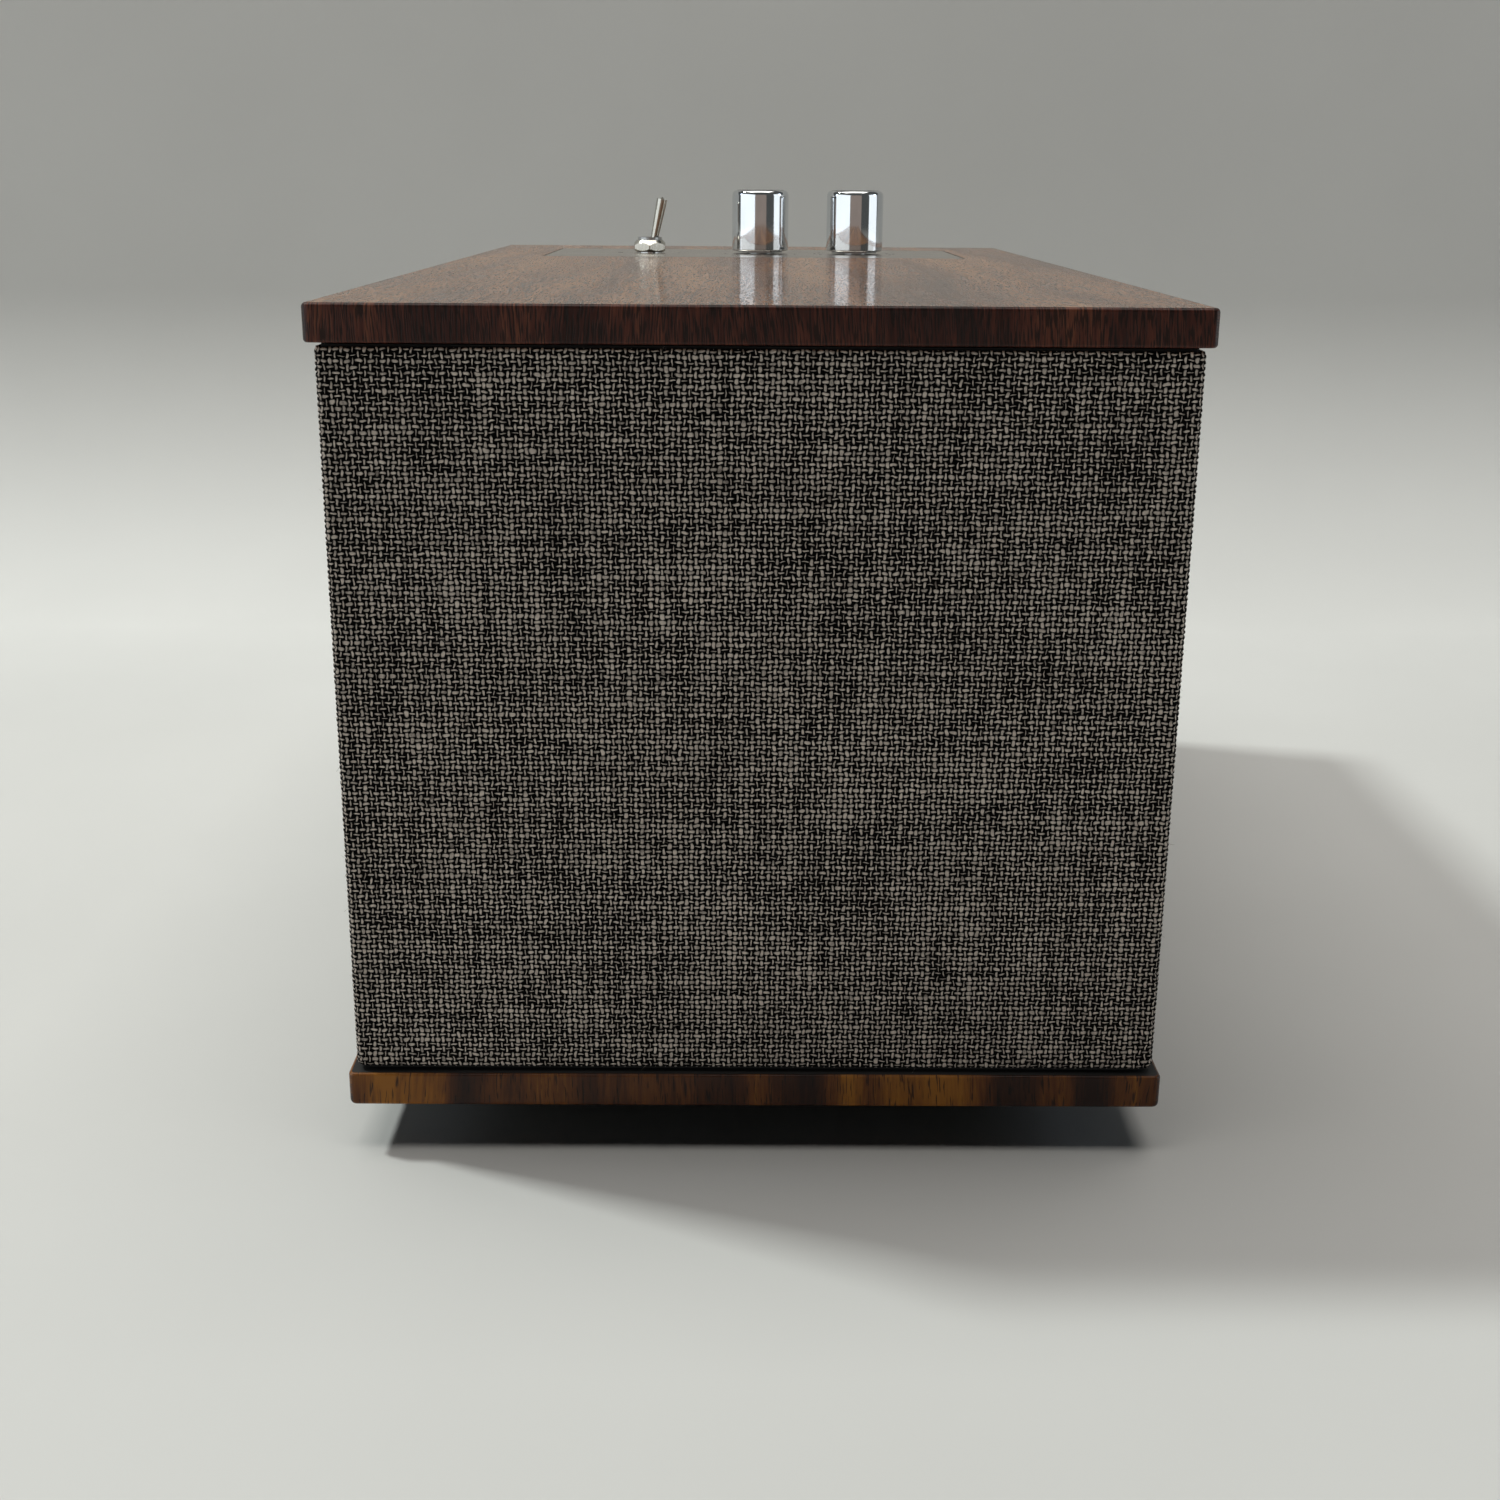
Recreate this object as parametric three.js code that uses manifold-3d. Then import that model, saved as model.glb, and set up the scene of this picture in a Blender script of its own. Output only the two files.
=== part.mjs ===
// Tabletop radio: a cloth-wrapped wooden box between two walnut slabs, with two knobs and a
// toggle switch on a metal plate let into the top. Millimetres, +Z up, front faces -Y.
import * as THREE from 'three';
import { mergeVertices } from 'three/addons/utils/BufferGeometryUtils.js';
import Module from 'manifold-3d';

const wasm = await Module();
wasm.setup();

// Driving dimensions
const LENGTH = 265;
const DEPTH = 140;
const SLAB = 6;
const FOOT_HEIGHT = 8.5;
const BODY_HEIGHT = 123;
const GAP = 0.3;
const CLOTH = 0.8;
const CLOTH_OVERHANG = 1.3;
const CLOTH_CORNER = 3;
const WALL = 9;
const TOP_GASKET = 1.3;
const BOTTOM_GASKET = 1;

const PLATE = { x: 79.1, y: 0, length: 53, width: 104, thick: 1 };
const CONTROL_X = 79.1;
const TOGGLE_Y = 26.95;
const VOLUME_Y = -26.2;
const TUNING_Y = -1.7;
const KNOB_RADIUS = 7.3;
const KNOB_TOP = 15.8;
const TOGGLE_TILT = 12;

const DRIVER = { x: 65, z: 76, hole: 35 };
const CUP = { z: 60, halfLength: 38, halfHeight: 18, flange: 5, depth: 13.9 };
const FOOT = { x: 102, y: 46, radius: 8 };
const CONNECTOR_X = 22;

// Levels and outlines worked out from them
const BOTTOM_TOP_Z = FOOT_HEIGHT + SLAB;
const SLAB_UNDER_Z = BOTTOM_TOP_Z + BODY_HEIGHT;
const TOP_Z = SLAB_UNDER_Z + SLAB;
const WALL_LOW_Z = BOTTOM_TOP_Z + GAP + BOTTOM_GASKET + GAP;
const WALL_HIGH_Z = SLAB_UNDER_Z - GAP - TOP_GASKET - GAP;
const WALL_HEIGHT = WALL_HIGH_Z - WALL_LOW_Z;
const CLOTH_X = LENGTH / 2 - CLOTH_OVERHANG;
const CLOTH_Y = DEPTH / 2 - CLOTH_OVERHANG;
const WALL_X = CLOTH_X - CLOTH - GAP;
const WALL_Y = CLOTH_Y - CLOTH - GAP;
const WALL_CORNER = CLOTH_CORNER - CLOTH - GAP;
const INNER_Y = WALL_Y - WALL;
const CUP_FACE_Y = DEPTH / 2 - 0.1;
const CUP_FLOOR_Y = CUP_FACE_Y - CUP.depth;

const walnut = { color: 0x5a3a24, roughness: 0.35, metalness: 0 };
const fibreboard = { color: 0x9b7d58, roughness: 0.85, metalness: 0 };
const cloth = { color: 0x55514c, roughness: 0.95, metalness: 0 };
const foam = { color: 0x101010, roughness: 0.95, metalness: 0 };
const rubber = { color: 0x161616, roughness: 0.9, metalness: 0 };
const blackPlastic = { color: 0x1b1b1c, roughness: 0.5, metalness: 0 };
const chrome = { color: 0xd8d8d8, roughness: 0.08, metalness: 1 };
const steel = { color: 0x9a9a98, roughness: 0.35, metalness: 1 };
const brushedPlate = { color: 0xb9b9b7, roughness: 0.3, metalness: 1 };
const aluminium = { color: 0xa9abad, roughness: 0.45, metalness: 1 };
const brass = { color: 0xb9964f, roughness: 0.35, metalness: 1 };
const ferrite = { color: 0x2a2a2c, roughness: 0.6, metalness: 0 };
const pulp = { color: 0x222222, roughness: 0.9, metalness: 0 };
const circuitBoard = { color: 0x1f5c3a, roughness: 0.5, metalness: 0 };
const cableJacket = { color: 0x2b2b2b, roughness: 0.6, metalness: 0 };
const ribbonGrey = { color: 0x8f9092, roughness: 0.6, metalness: 0 };

function toSolid(geometry) {
  const plain = geometry.clone();
  plain.deleteAttribute('normal');
  plain.deleteAttribute('uv');
  const welded = mergeVertices(plain, 1e-4);
  return new wasm.Manifold(new wasm.Mesh({
    numProp: 3,
    vertProperties: new Float32Array(welded.attributes.position.array),
    triVerts: new Uint32Array(welded.index.array),
  }));
}

function toGeometry(solid) {
  const mesh = solid.getMesh();
  const indexed = new THREE.BufferGeometry();
  indexed.setAttribute('position', new THREE.BufferAttribute(mesh.vertProperties, 3));
  indexed.setIndex(new THREE.BufferAttribute(mesh.triVerts, 1));
  const flat = indexed.toNonIndexed();
  flat.computeVertexNormals();
  return flat;
}

function cut(geometry, cutters) {
  let solid = toSolid(geometry);
  for (const cutter of cutters) {
    solid = solid.subtract(toSolid(cutter));
  }
  return toGeometry(solid);
}

function join(geometries) {
  let solid = toSolid(geometries[0]);
  for (const geometry of geometries.slice(1)) {
    solid = solid.add(toSolid(geometry));
  }
  return toGeometry(solid);
}

function box(x0, x1, y0, y1, z0, z1) {
  const geometry = new THREE.BoxGeometry(x1 - x0, y1 - y0, z1 - z0);
  geometry.translate((x0 + x1) / 2, (y0 + y1) / 2, (z0 + z1) / 2);
  return geometry;
}

// A turned solid standing on the Z axis; profile rows are [radius, height].
function turned(profile, segments = 24) {
  const points = profile.map(([radius, height]) => new THREE.Vector2(radius, height));
  const geometry = new THREE.LatheGeometry(points, segments);
  geometry.rotateX(Math.PI / 2);
  return geometry;
}

function rod(radius, z0, z1, segments = 24) {
  return turned([[0, z0], [radius, z0], [radius, z1], [0, z1]], segments);
}

// Lays a turned solid down so that its +Z runs along +Y.
function alongY(geometry) {
  geometry.rotateX(-Math.PI / 2);
  return geometry;
}

function roundedShape(halfX, halfY, corner) {
  const shape = new THREE.Shape();
  shape.moveTo(halfX - corner, -halfY);
  shape.absarc(halfX - corner, -halfY + corner, corner, -Math.PI / 2, 0);
  shape.absarc(halfX - corner, halfY - corner, corner, 0, Math.PI / 2);
  shape.absarc(-halfX + corner, halfY - corner, corner, Math.PI / 2, Math.PI);
  shape.absarc(-halfX + corner, -halfY + corner, corner, Math.PI, 1.5 * Math.PI);
  return shape;
}

function upright(shape, z0, z1, segments = 4) {
  const geometry = new THREE.ExtrudeGeometry(shape, {
    depth: z1 - z0, bevelEnabled: false, curveSegments: segments,
  });
  geometry.translate(0, 0, z0);
  return geometry;
}

function hexagon(acrossFlats, z0, z1) {
  const radius = acrossFlats / Math.sqrt(3);
  return rod(radius, z0, z1, 6);
}

function named(name, geometry, look) {
  const mesh = new THREE.Mesh(geometry, new THREE.MeshStandardMaterial(look));
  mesh.name = name;
  return mesh;
}

function gather(name, children) {
  const group = new THREE.Group();
  group.name = name;
  group.add(...children);
  return group;
}

// Cabinet

function easedSlab(z0) {
  const ease = 0.5;
  const geometry = new THREE.ExtrudeGeometry(roundedShape(LENGTH / 2, DEPTH / 2, 1.2), {
    depth: SLAB - 2 * ease,
    bevelThickness: ease,
    bevelSize: ease,
    bevelOffset: -ease,
    bevelSegments: 1,
    curveSegments: 3,
  });
  geometry.translate(0, 0, z0 + ease);
  return geometry;
}

function topSlab() {
  const pocket = box(
    PLATE.x - PLATE.length / 2 - GAP, PLATE.x + PLATE.length / 2 + GAP,
    PLATE.y - PLATE.width / 2 - GAP, PLATE.y + PLATE.width / 2 + GAP,
    TOP_Z - PLATE.thick - GAP, TOP_Z + 1,
  );
  const holes = [[TOGGLE_Y, 3.5], [VOLUME_Y, 3.8], [TUNING_Y, 3.8]].map(([y, radius]) => {
    const hole = rod(radius, SLAB_UNDER_Z - 1, TOP_Z + 1);
    hole.translate(CONTROL_X, y, 0);
    return hole;
  });
  return named('top_slab', cut(easedSlab(SLAB_UNDER_Z), [pocket, ...holes]), walnut);
}

function footPlaces() {
  return [
    ['front_left', -FOOT.x, -FOOT.y],
    ['front_right', FOOT.x, -FOOT.y],
    ['rear_left', -FOOT.x, FOOT.y],
    ['rear_right', FOOT.x, FOOT.y],
  ];
}

function bottomSlab() {
  const holes = footPlaces().map(([, x, y]) => {
    const hole = rod(2.1, FOOT_HEIGHT - 1, FOOT_HEIGHT + 5, 16);
    hole.translate(x, y, 0);
    return hole;
  });
  return named('bottom_slab', cut(easedSlab(FOOT_HEIGHT), holes), walnut);
}

function gasket(name, z0, thick) {
  const shape = roundedShape(CLOTH_X - 0.8, CLOTH_Y - 0.8, CLOTH_CORNER - 0.8);
  shape.holes.push(roundedShape(WALL_X - WALL - 1, INNER_Y - 1, 1));
  return named(name, upright(shape, z0, z0 + thick, 3), foam);
}

// A wall with its two outer upright edges rounded; side is -1 for the front, +1 for the rear.
function longWall(side) {
  const shape = new THREE.Shape();
  const corner = WALL_CORNER;
  shape.moveTo(-WALL_X, -INNER_Y);
  shape.lineTo(-WALL_X, -WALL_Y + corner);
  shape.absarc(-WALL_X + corner, -WALL_Y + corner, corner, Math.PI, 1.5 * Math.PI);
  shape.absarc(WALL_X - corner, -WALL_Y + corner, corner, -Math.PI / 2, 0);
  shape.lineTo(WALL_X, -INNER_Y);
  const geometry = upright(shape, WALL_LOW_Z, WALL_HIGH_Z);
  if (side > 0) {
    geometry.rotateZ(Math.PI);
  }
  return geometry;
}

function frontBaffle() {
  const holes = [-DRIVER.x, DRIVER.x].map((x) => {
    const hole = alongY(rod(DRIVER.hole, -WALL_Y - 1, -INNER_Y + 1, 32));
    hole.translate(x, 0, DRIVER.z);
    return hole;
  });
  return named('front_baffle', cut(longWall(-1), holes), fibreboard);
}

function cupScrewPlaces() {
  const x = CUP.halfLength + CUP.flange - 3.2;
  const z = CUP.halfHeight + CUP.flange - 3.2;
  return [
    ['upper_left', x, CUP.z + z],
    ['upper_right', -x, CUP.z + z],
    ['lower_left', x, CUP.z - z],
    ['lower_right', -x, CUP.z - z],
  ];
}

// The window matches the cup; its corners are left solid to take the four screws.
function rearWall() {
  const window = box(
    -CUP.halfLength - GAP, CUP.halfLength + GAP, INNER_Y - 1, WALL_Y + 1,
    CUP.z - CUP.halfHeight - GAP, CUP.z + CUP.halfHeight + GAP,
  );
  const holes = cupScrewPlaces().map(([, x, z]) => {
    const hole = alongY(rod(1.6, INNER_Y - 1, WALL_Y + 1, 12));
    hole.translate(x, 0, z);
    return hole;
  });
  return named('rear_wall', cut(longWall(1), [window, ...holes]), fibreboard);
}

function sidePanel(name, side) {
  const outer = side * WALL_X;
  const inner = side * (WALL_X - WALL);
  return named(name, box(
    Math.min(outer, inner), Math.max(outer, inner),
    -INNER_Y + GAP, INNER_Y - GAP, WALL_LOW_Z, WALL_HIGH_Z,
  ), fibreboard);
}

function clothSleeve() {
  const shape = roundedShape(CLOTH_X, CLOTH_Y, CLOTH_CORNER);
  shape.holes.push(roundedShape(CLOTH_X - CLOTH, CLOTH_Y - CLOTH, CLOTH_CORNER - CLOTH));
  const opening = box(
    -CUP.halfLength - CUP.flange - GAP, CUP.halfLength + CUP.flange + GAP,
    CLOTH_Y - CLOTH - 1, CLOTH_Y + 1,
    CUP.z - CUP.halfHeight - CUP.flange - GAP, CUP.z + CUP.halfHeight + CUP.flange + GAP,
  );
  return named('cloth_sleeve', cut(upright(shape, WALL_LOW_Z, WALL_HIGH_Z), [opening]), cloth);
}

function cabinet() {
  return gather('cabinet', [
    topSlab(),
    bottomSlab(),
    frontBaffle(),
    rearWall(),
    sidePanel('left_side_panel', -1),
    sidePanel('right_side_panel', 1),
    clothSleeve(),
    gasket('top_gasket', SLAB_UNDER_Z - GAP - TOP_GASKET, TOP_GASKET),
    gasket('bottom_gasket', BOTTOM_TOP_Z + GAP, BOTTOM_GASKET),
  ]);
}

// Controls: heights in these profiles are measured from the top of the slab.

function atControl(geometry, y) {
  geometry.translate(CONTROL_X, y, TOP_Z);
  return geometry;
}

function controlPlate() {
  const shape = roundedShape(PLATE.length / 2, PLATE.width / 2, 0.6);
  const plate = upright(shape, TOP_Z - PLATE.thick, TOP_Z, 2);
  plate.translate(PLATE.x, PLATE.y, 0);
  const holes = [
    atControl(rod(3.4, -3, 1), TOGGLE_Y),
    atControl(rod(3.8, -3, 1), VOLUME_Y),
    atControl(rod(3.8, -3, 1), TUNING_Y),
  ];
  return named('control_plate', cut(plate, holes), brushedPlate);
}

const TOGGLE_PIVOT = -2;
const TOGGLE_BUSHING_TOP = 3.9;
const UNDER = -SLAB - GAP;

function toggleBody() {
  const solid = join([
    box(-6.5, 6.5, -4, 4, UNDER - 9, UNDER),
    rod(3.1, UNDER - 1, TOGGLE_BUSHING_TOP),
  ]);
  const bore = turned([
    [0, UNDER - 5], [3, UNDER - 5], [3, UNDER - 1.2], [2.5, UNDER - 0.5], [1.9, TOGGLE_PIVOT],
    [2.56, TOGGLE_BUSHING_TOP + 0.3], [0, TOGGLE_BUSHING_TOP + 0.3],
  ]);
  return named('toggle_body', atControl(cut(solid, [bore]), TOGGLE_Y), steel);
}

function toggleNut() {
  const nut = cut(hexagon(8, GAP, 3.5), [rod(3.4, 0, 4)]);
  return named('toggle_nut', atControl(nut, TOGGLE_Y), chrome);
}

// A ball on a thin lever that thickens toward its rounded tip, with a short tail below.
function toggleLever() {
  const lever = turned([
    [0, -7], [0.7, -7], [0.7, -1.44], [1.4, -0.78], [1.6, 0], [1.4, 0.78], [0.95, 1.3],
    [0.95, 6], [1.35, 14.2], [1.3, 15.4], [0.95, 16.05], [0, 16.3],
  ], 16);
  lever.rotateX(THREE.MathUtils.degToRad(TOGGLE_TILT));
  lever.translate(0, 0, TOGGLE_PIVOT);
  return named('toggle_lever', atControl(lever, TOGGLE_Y), chrome);
}

function knob(name, y) {
  const profile = turned([
    [0, 13.3], [3.3, 13.3], [3.3, 2.9], [6.2, 2.9], [6.2, 0.7], [7.05, 0.7],
    [KNOB_RADIUS, 0.95], [KNOB_RADIUS, KNOB_TOP - 0.7], [7.1, KNOB_TOP - 0.2],
    [6.6, KNOB_TOP], [0, KNOB_TOP],
  ], 32);
  return named(name, atControl(profile, y), chrome);
}

// Turning part of a rotary control: a rotor disc, a slim neck and the shaft in the knob.
function rotaryShaft(name, y) {
  const shaft = turned([
    [0, UNDER - 4.2], [4.4, UNDER - 4.2], [4.4, UNDER - 2.8], [2.5, UNDER - 2.8],
    [2.5, 2.4], [3, 2.8], [3, 12.6], [2.6, 13], [0, 13],
  ], 16);
  return named(name, atControl(shaft, y), brass);
}

function rotaryBody(name, y) {
  const solid = join([
    box(-5.5, 5.5, -6, 6, UNDER - 7, UNDER),
    rod(3.5, UNDER - 1, 2.1),
  ]);
  const bore = turned([
    [0, UNDER - 4.6], [4.8, UNDER - 4.6], [4.8, UNDER - 2.4], [2.8, UNDER - 2.4],
    [2.8, 3], [0, 3],
  ]);
  return named(name, atControl(cut(solid, [bore]), y), steel);
}

function rotaryNut(name, y) {
  const nut = cut(hexagon(10, GAP, 1.8), [rod(3.8, 0, 3)]);
  return named(name, atControl(nut, y), steel);
}

function rotaryControl(kind, y) {
  return gather(`${kind}_control`, [
    knob(`${kind}_knob`, y),
    rotaryShaft(`${kind}_shaft`, y),
    rotaryBody(`${kind}_rotary_body`, y),
    rotaryNut(`${kind}_nut`, y),
  ]);
}

const CONTROL_BOARD_TOP = TOP_Z + UNDER - 9 - GAP;

function controlBoard() {
  return named('control_board', box(
    CONTROL_X - 20, CONTROL_X + 20, -46, 46, CONTROL_BOARD_TOP - 1.6, CONTROL_BOARD_TOP,
  ), circuitBoard);
}

function controlSpacer(name, y) {
  const spacer = rod(3, CONTROL_BOARD_TOP + GAP, SLAB_UNDER_Z - GAP, 16);
  spacer.translate(CONTROL_X, y, 0);
  return named(name, spacer, brass);
}

function controls() {
  return gather('controls', [
    controlPlate(),
    toggleBody(),
    toggleNut(),
    toggleLever(),
    rotaryControl('volume', VOLUME_Y),
    rotaryControl('tuning', TUNING_Y),
    controlBoard(),
    controlSpacer('control_spacer_front', -40),
    controlSpacer('control_spacer_rear', 40),
  ]);
}

// Loudspeakers: depths in these profiles are measured back from the flange's front face.

function atDriver(geometry, x) {
  alongY(geometry);
  geometry.translate(x, -INNER_Y + GAP, DRIVER.z);
  return geometry;
}

function driverBasket(name, x) {
  const shell = turned([
    [39, 0], [39, 2], [35, 4.5], [15, 22.5], [12.5, 22.5], [12.5, 21], [14.2, 21],
    [33, 4.2], [33, 2.3], [35.3, 2.3], [35.3, 0], [39, 0],
  ], 20);
  const windows = [
    box(-60, 60, -9, 9, 7, 19),
    box(-9, 9, -60, 60, 7, 19),
  ];
  return named(name, atDriver(cut(shell, windows), x), steel);
}

function driverMagnet(name, x) {
  const magnet = turned([
    [0, 22.8], [9, 22.8], [9, 31.5], [11.8, 31.5], [11.8, 22.8], [25, 22.8], [26, 24],
    [26, 36], [25, 37], [0, 37],
  ], 20);
  return named(name, atDriver(magnet, x), ferrite);
}

function driverCone(name, x) {
  const cone = turned([
    [0, 11.5], [6, 12.6], [10, 15], [28, 2.5], [28, 3.5], [10.7, 16.2], [10.7, 29],
    [9.5, 29], [9.5, 16.2], [6, 13.8], [0, 12.7],
  ], 20);
  return named(name, atDriver(cone, x), pulp);
}

function driverSurround(name, x) {
  const surround = turned([
    [28.3, 2.4], [29, 2.2], [30.2, 0.5], [32.2, 0.5], [33.4, 1.3], [35, 1.3], [35, 2],
    [33, 2], [31.8, 1.3], [30.6, 1.3], [29.4, 3.1], [28.3, 3.2], [28.3, 2.4],
  ], 20);
  return named(name, atDriver(surround, x), rubber);
}

function driver(side, x) {
  return gather(`${side}_driver`, [
    driverBasket(`${side}_driver_basket`, x),
    driverMagnet(`${side}_driver_magnet`, x),
    driverCone(`${side}_driver_cone`, x),
    driverSurround(`${side}_driver_surround`, x),
  ]);
}

// Electronics on the floor of the cabinet

const BOARD = { x0: -75, x1: 75, y0: -28, y1: 38, top: BOTTOM_TOP_Z + 9.1 };
const PARTS_Z = BOARD.top + GAP;

function boardRail(name, y) {
  return named(name, box(-72, 72, y - 3, y + 3, BOTTOM_TOP_Z + GAP, BOARD.top - 1.6 - GAP),
    blackPlastic);
}

function heatsink() {
  const shape = new THREE.Shape();
  const fins = 6;
  const pitch = 6.4;
  shape.moveTo(0, 0);
  for (let i = 0; i < fins; i += 1) {
    const x = i * pitch;
    shape.lineTo(x, 14);
    shape.lineTo(x + 1.8, 14);
    shape.lineTo(x + 1.8, i < fins - 1 ? 3 : 0);
    if (i < fins - 1) {
      shape.lineTo(x + pitch, 3);
    }
  }
  const geometry = new THREE.ExtrudeGeometry(shape, { depth: 26, bevelEnabled: false });
  geometry.rotateX(Math.PI / 2);
  geometry.translate(24, 32, PARTS_Z);
  return named('amplifier_heatsink', geometry, aluminium);
}

function capacitor(name, x) {
  const can = turned([
    [0, 0], [5, 0], [5, 1.4], [4.7, 1.9], [5, 2.4], [5, 16.4], [4.6, 16.8], [0, 16.8],
  ], 16);
  can.translate(x, -14, PARTS_Z);
  return named(name, can, blackPlastic);
}

// A flat cable that leaves the main board, lies back in a loop and meets the control board.
function ribbonCable() {
  const low = PARTS_Z;
  const high = CONTROL_BOARD_TOP - 1.6 - GAP;
  const path = new THREE.CatmullRomCurve3([
    new THREE.Vector3(70, 0, low),
    new THREE.Vector3(70, 0, low + 6),
    new THREE.Vector3(100, 0, low + 24),
    new THREE.Vector3(110, 0, (low + high) / 2),
    new THREE.Vector3(88, 0, high - 12),
    new THREE.Vector3(86, 0, high),
  ]);
  const centre = path.getPoints(18);
  const half = 0.4;
  const left = [];
  const right = [];
  centre.forEach((point, i) => {
    const before = centre[Math.max(i - 1, 0)];
    const after = centre[Math.min(i + 1, centre.length - 1)];
    const across = new THREE.Vector2(-(after.z - before.z), after.x - before.x).normalize();
    if (i === 0 || i === centre.length - 1) {
      across.set(-1, 0);
    }
    left.push(new THREE.Vector2(point.x + across.x * half, point.z + across.y * half));
    right.push(new THREE.Vector2(point.x - across.x * half, point.z - across.y * half));
  });
  const shape = new THREE.Shape([...left, ...right.reverse()]);
  const geometry = new THREE.ExtrudeGeometry(shape, { depth: 14, bevelEnabled: false });
  geometry.rotateX(Math.PI / 2);
  geometry.translate(0, 14, 0);
  return named('ribbon_cable', geometry, ribbonGrey);
}

function lead(name, radius, points) {
  const path = new THREE.CatmullRomCurve3(points.map((p) => new THREE.Vector3(...p)));
  const shape = new THREE.Shape();
  shape.absarc(0, 0, radius, 0, 2 * Math.PI);
  const geometry = new THREE.ExtrudeGeometry(shape, {
    extrudePath: path, steps: 14, curveSegments: 3, bevelEnabled: false,
  });
  return named(name, geometry, cableJacket);
}

function speakerLead(side, sign) {
  return lead(`${side}_speaker_lead`, 1.2, [
    [sign * 60, -20, PARTS_Z + 1],
    [sign * 60, -20, PARTS_Z + 6],
    [sign * 62, -26, PARTS_Z + 16],
    [sign * 64, -29, DRIVER.z - 29],
    [sign * 65, -30, DRIVER.z - 27],
  ]);
}

function antennaLead() {
  return lead('antenna_lead', 1.5, [
    [CONNECTOR_X, CUP_FLOOR_Y - 12.4, CUP.z],
    [CONNECTOR_X, CUP_FLOOR_Y - 18, CUP.z - 1],
    [10, 24, 44],
    [-20, 18, 40],
    [-36, 18, PARTS_Z + 15],
    [-36, 18, PARTS_Z + 12],
  ]);
}

function electronics() {
  return gather('electronics', [
    named('main_board', box(BOARD.x0, BOARD.x1, BOARD.y0, BOARD.y1, BOARD.top - 1.6, BOARD.top),
      circuitBoard),
    boardRail('board_rail_front', -20),
    boardRail('board_rail_rear', 30),
    named('tuner_can', box(-54, -20, 6, 30, PARTS_Z, PARTS_Z + 10), aluminium),
    heatsink(),
    capacitor('supply_capacitor_left', 0),
    capacitor('supply_capacitor_right', 14),
    ribbonCable(),
    speakerLead('left', -1),
    speakerLead('right', 1),
    antennaLead(),
  ]);
}

// Recessed connector cup in the rear wall

function atConnector(geometry, x) {
  alongY(geometry);
  geometry.translate(x, CUP_FLOOR_Y, CUP.z);
  return geometry;
}

function connectorCup() {
  const outer = join([
    box(
      -CUP.halfLength - CUP.flange, CUP.halfLength + CUP.flange, CUP_FACE_Y - 2, CUP_FACE_Y,
      CUP.z - CUP.halfHeight - CUP.flange, CUP.z + CUP.halfHeight + CUP.flange,
    ),
    box(
      -CUP.halfLength, CUP.halfLength, CUP_FLOOR_Y - 2, CUP_FACE_Y - 1,
      CUP.z - CUP.halfHeight, CUP.z + CUP.halfHeight,
    ),
  ]);
  const hollow = box(
    -CUP.halfLength + 1.6, CUP.halfLength - 1.6, CUP_FLOOR_Y, CUP_FACE_Y + 1,
    CUP.z - CUP.halfHeight + 1.6, CUP.z + CUP.halfHeight - 1.6,
  );
  const jackHoles = [[-CONNECTOR_X, 5.3], [0, 4.1], [CONNECTOR_X, 5.1]].map(
    ([x, radius]) => atConnector(rod(radius, -4, 2, 20), x),
  );
  const screwHoles = cupScrewPlaces().map(([, x, z]) => {
    const hole = alongY(turned([
      [0, CUP_FACE_Y - 4], [1.6, CUP_FACE_Y - 4], [1.6, CUP_FACE_Y - 1.6],
      [2.9, CUP_FACE_Y - 0.2], [2.9, CUP_FACE_Y + 1], [0, CUP_FACE_Y + 1],
    ], 12));
    hole.translate(x, 0, z);
    return hole;
  });
  return named('connector_cup', cut(outer, [hollow, ...jackHoles, ...screwHoles]), blackPlastic);
}

function cupScrew(place, x, z) {
  const screw = alongY(turned([
    [0, CUP_FACE_Y - 10], [1.3, CUP_FACE_Y - 9], [1.3, CUP_FACE_Y - 1.5],
    [2.5, CUP_FACE_Y - 0.5], [2.5, CUP_FACE_Y - 0.1], [0, CUP_FACE_Y - 0.1],
  ], 12));
  screw.translate(x, 0, z);
  const slots = [
    box(x - 1.5, x + 1.5, CUP_FACE_Y - 0.9, CUP_FACE_Y + 1, z - 0.3, z + 0.3),
    box(x - 0.3, x + 0.3, CUP_FACE_Y - 0.9, CUP_FACE_Y + 1, z - 1.5, z + 1.5),
  ];
  return named(`cup_screw_${place}`, cut(screw, slots), steel);
}

function powerJack() {
  const housing = join([
    box(-7, 7, -5.5, 5.5, -14, -2.3),
    rod(5, -3, 3, 20),
  ]);
  const socket = turned([
    [1.05, -9], [3.1, -9], [3.1, 4], [0, 4], [0, 1.5], [0.8, 1.5], [1.05, 1.2], [1.05, -9],
  ], 16);
  return named('power_jack', atConnector(cut(housing, [socket]), -CONNECTOR_X), blackPlastic);
}

function auxJack() {
  const housing = join([
    box(-6, 6, -4.5, 4.5, -13, -2.3),
    rod(3.8, -3, 2, 20),
  ]);
  const bore = rod(1.85, -12, 3, 16);
  return named('aux_jack', atConnector(cut(housing, [bore]), 0), blackPlastic);
}

function antennaSocket() {
  const profile = turned([
    [0, -12], [3, -12], [3, -7], [6, -7], [6, -2.3], [4.8, -2.3], [4.8, 9.4], [4.4, 9.8],
    [0.9, 9.8], [0.9, 2], [0, 2],
  ], 20);
  return named('antenna_socket', atConnector(profile, CONNECTOR_X), aluminium);
}

function rearConnectors() {
  return gather('rear_connectors', [
    connectorCup(),
    ...cupScrewPlaces().map(([place, x, z]) => cupScrew(place, x, z)),
    powerJack(),
    auxJack(),
    antennaSocket(),
  ]);
}

// Feet

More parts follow.
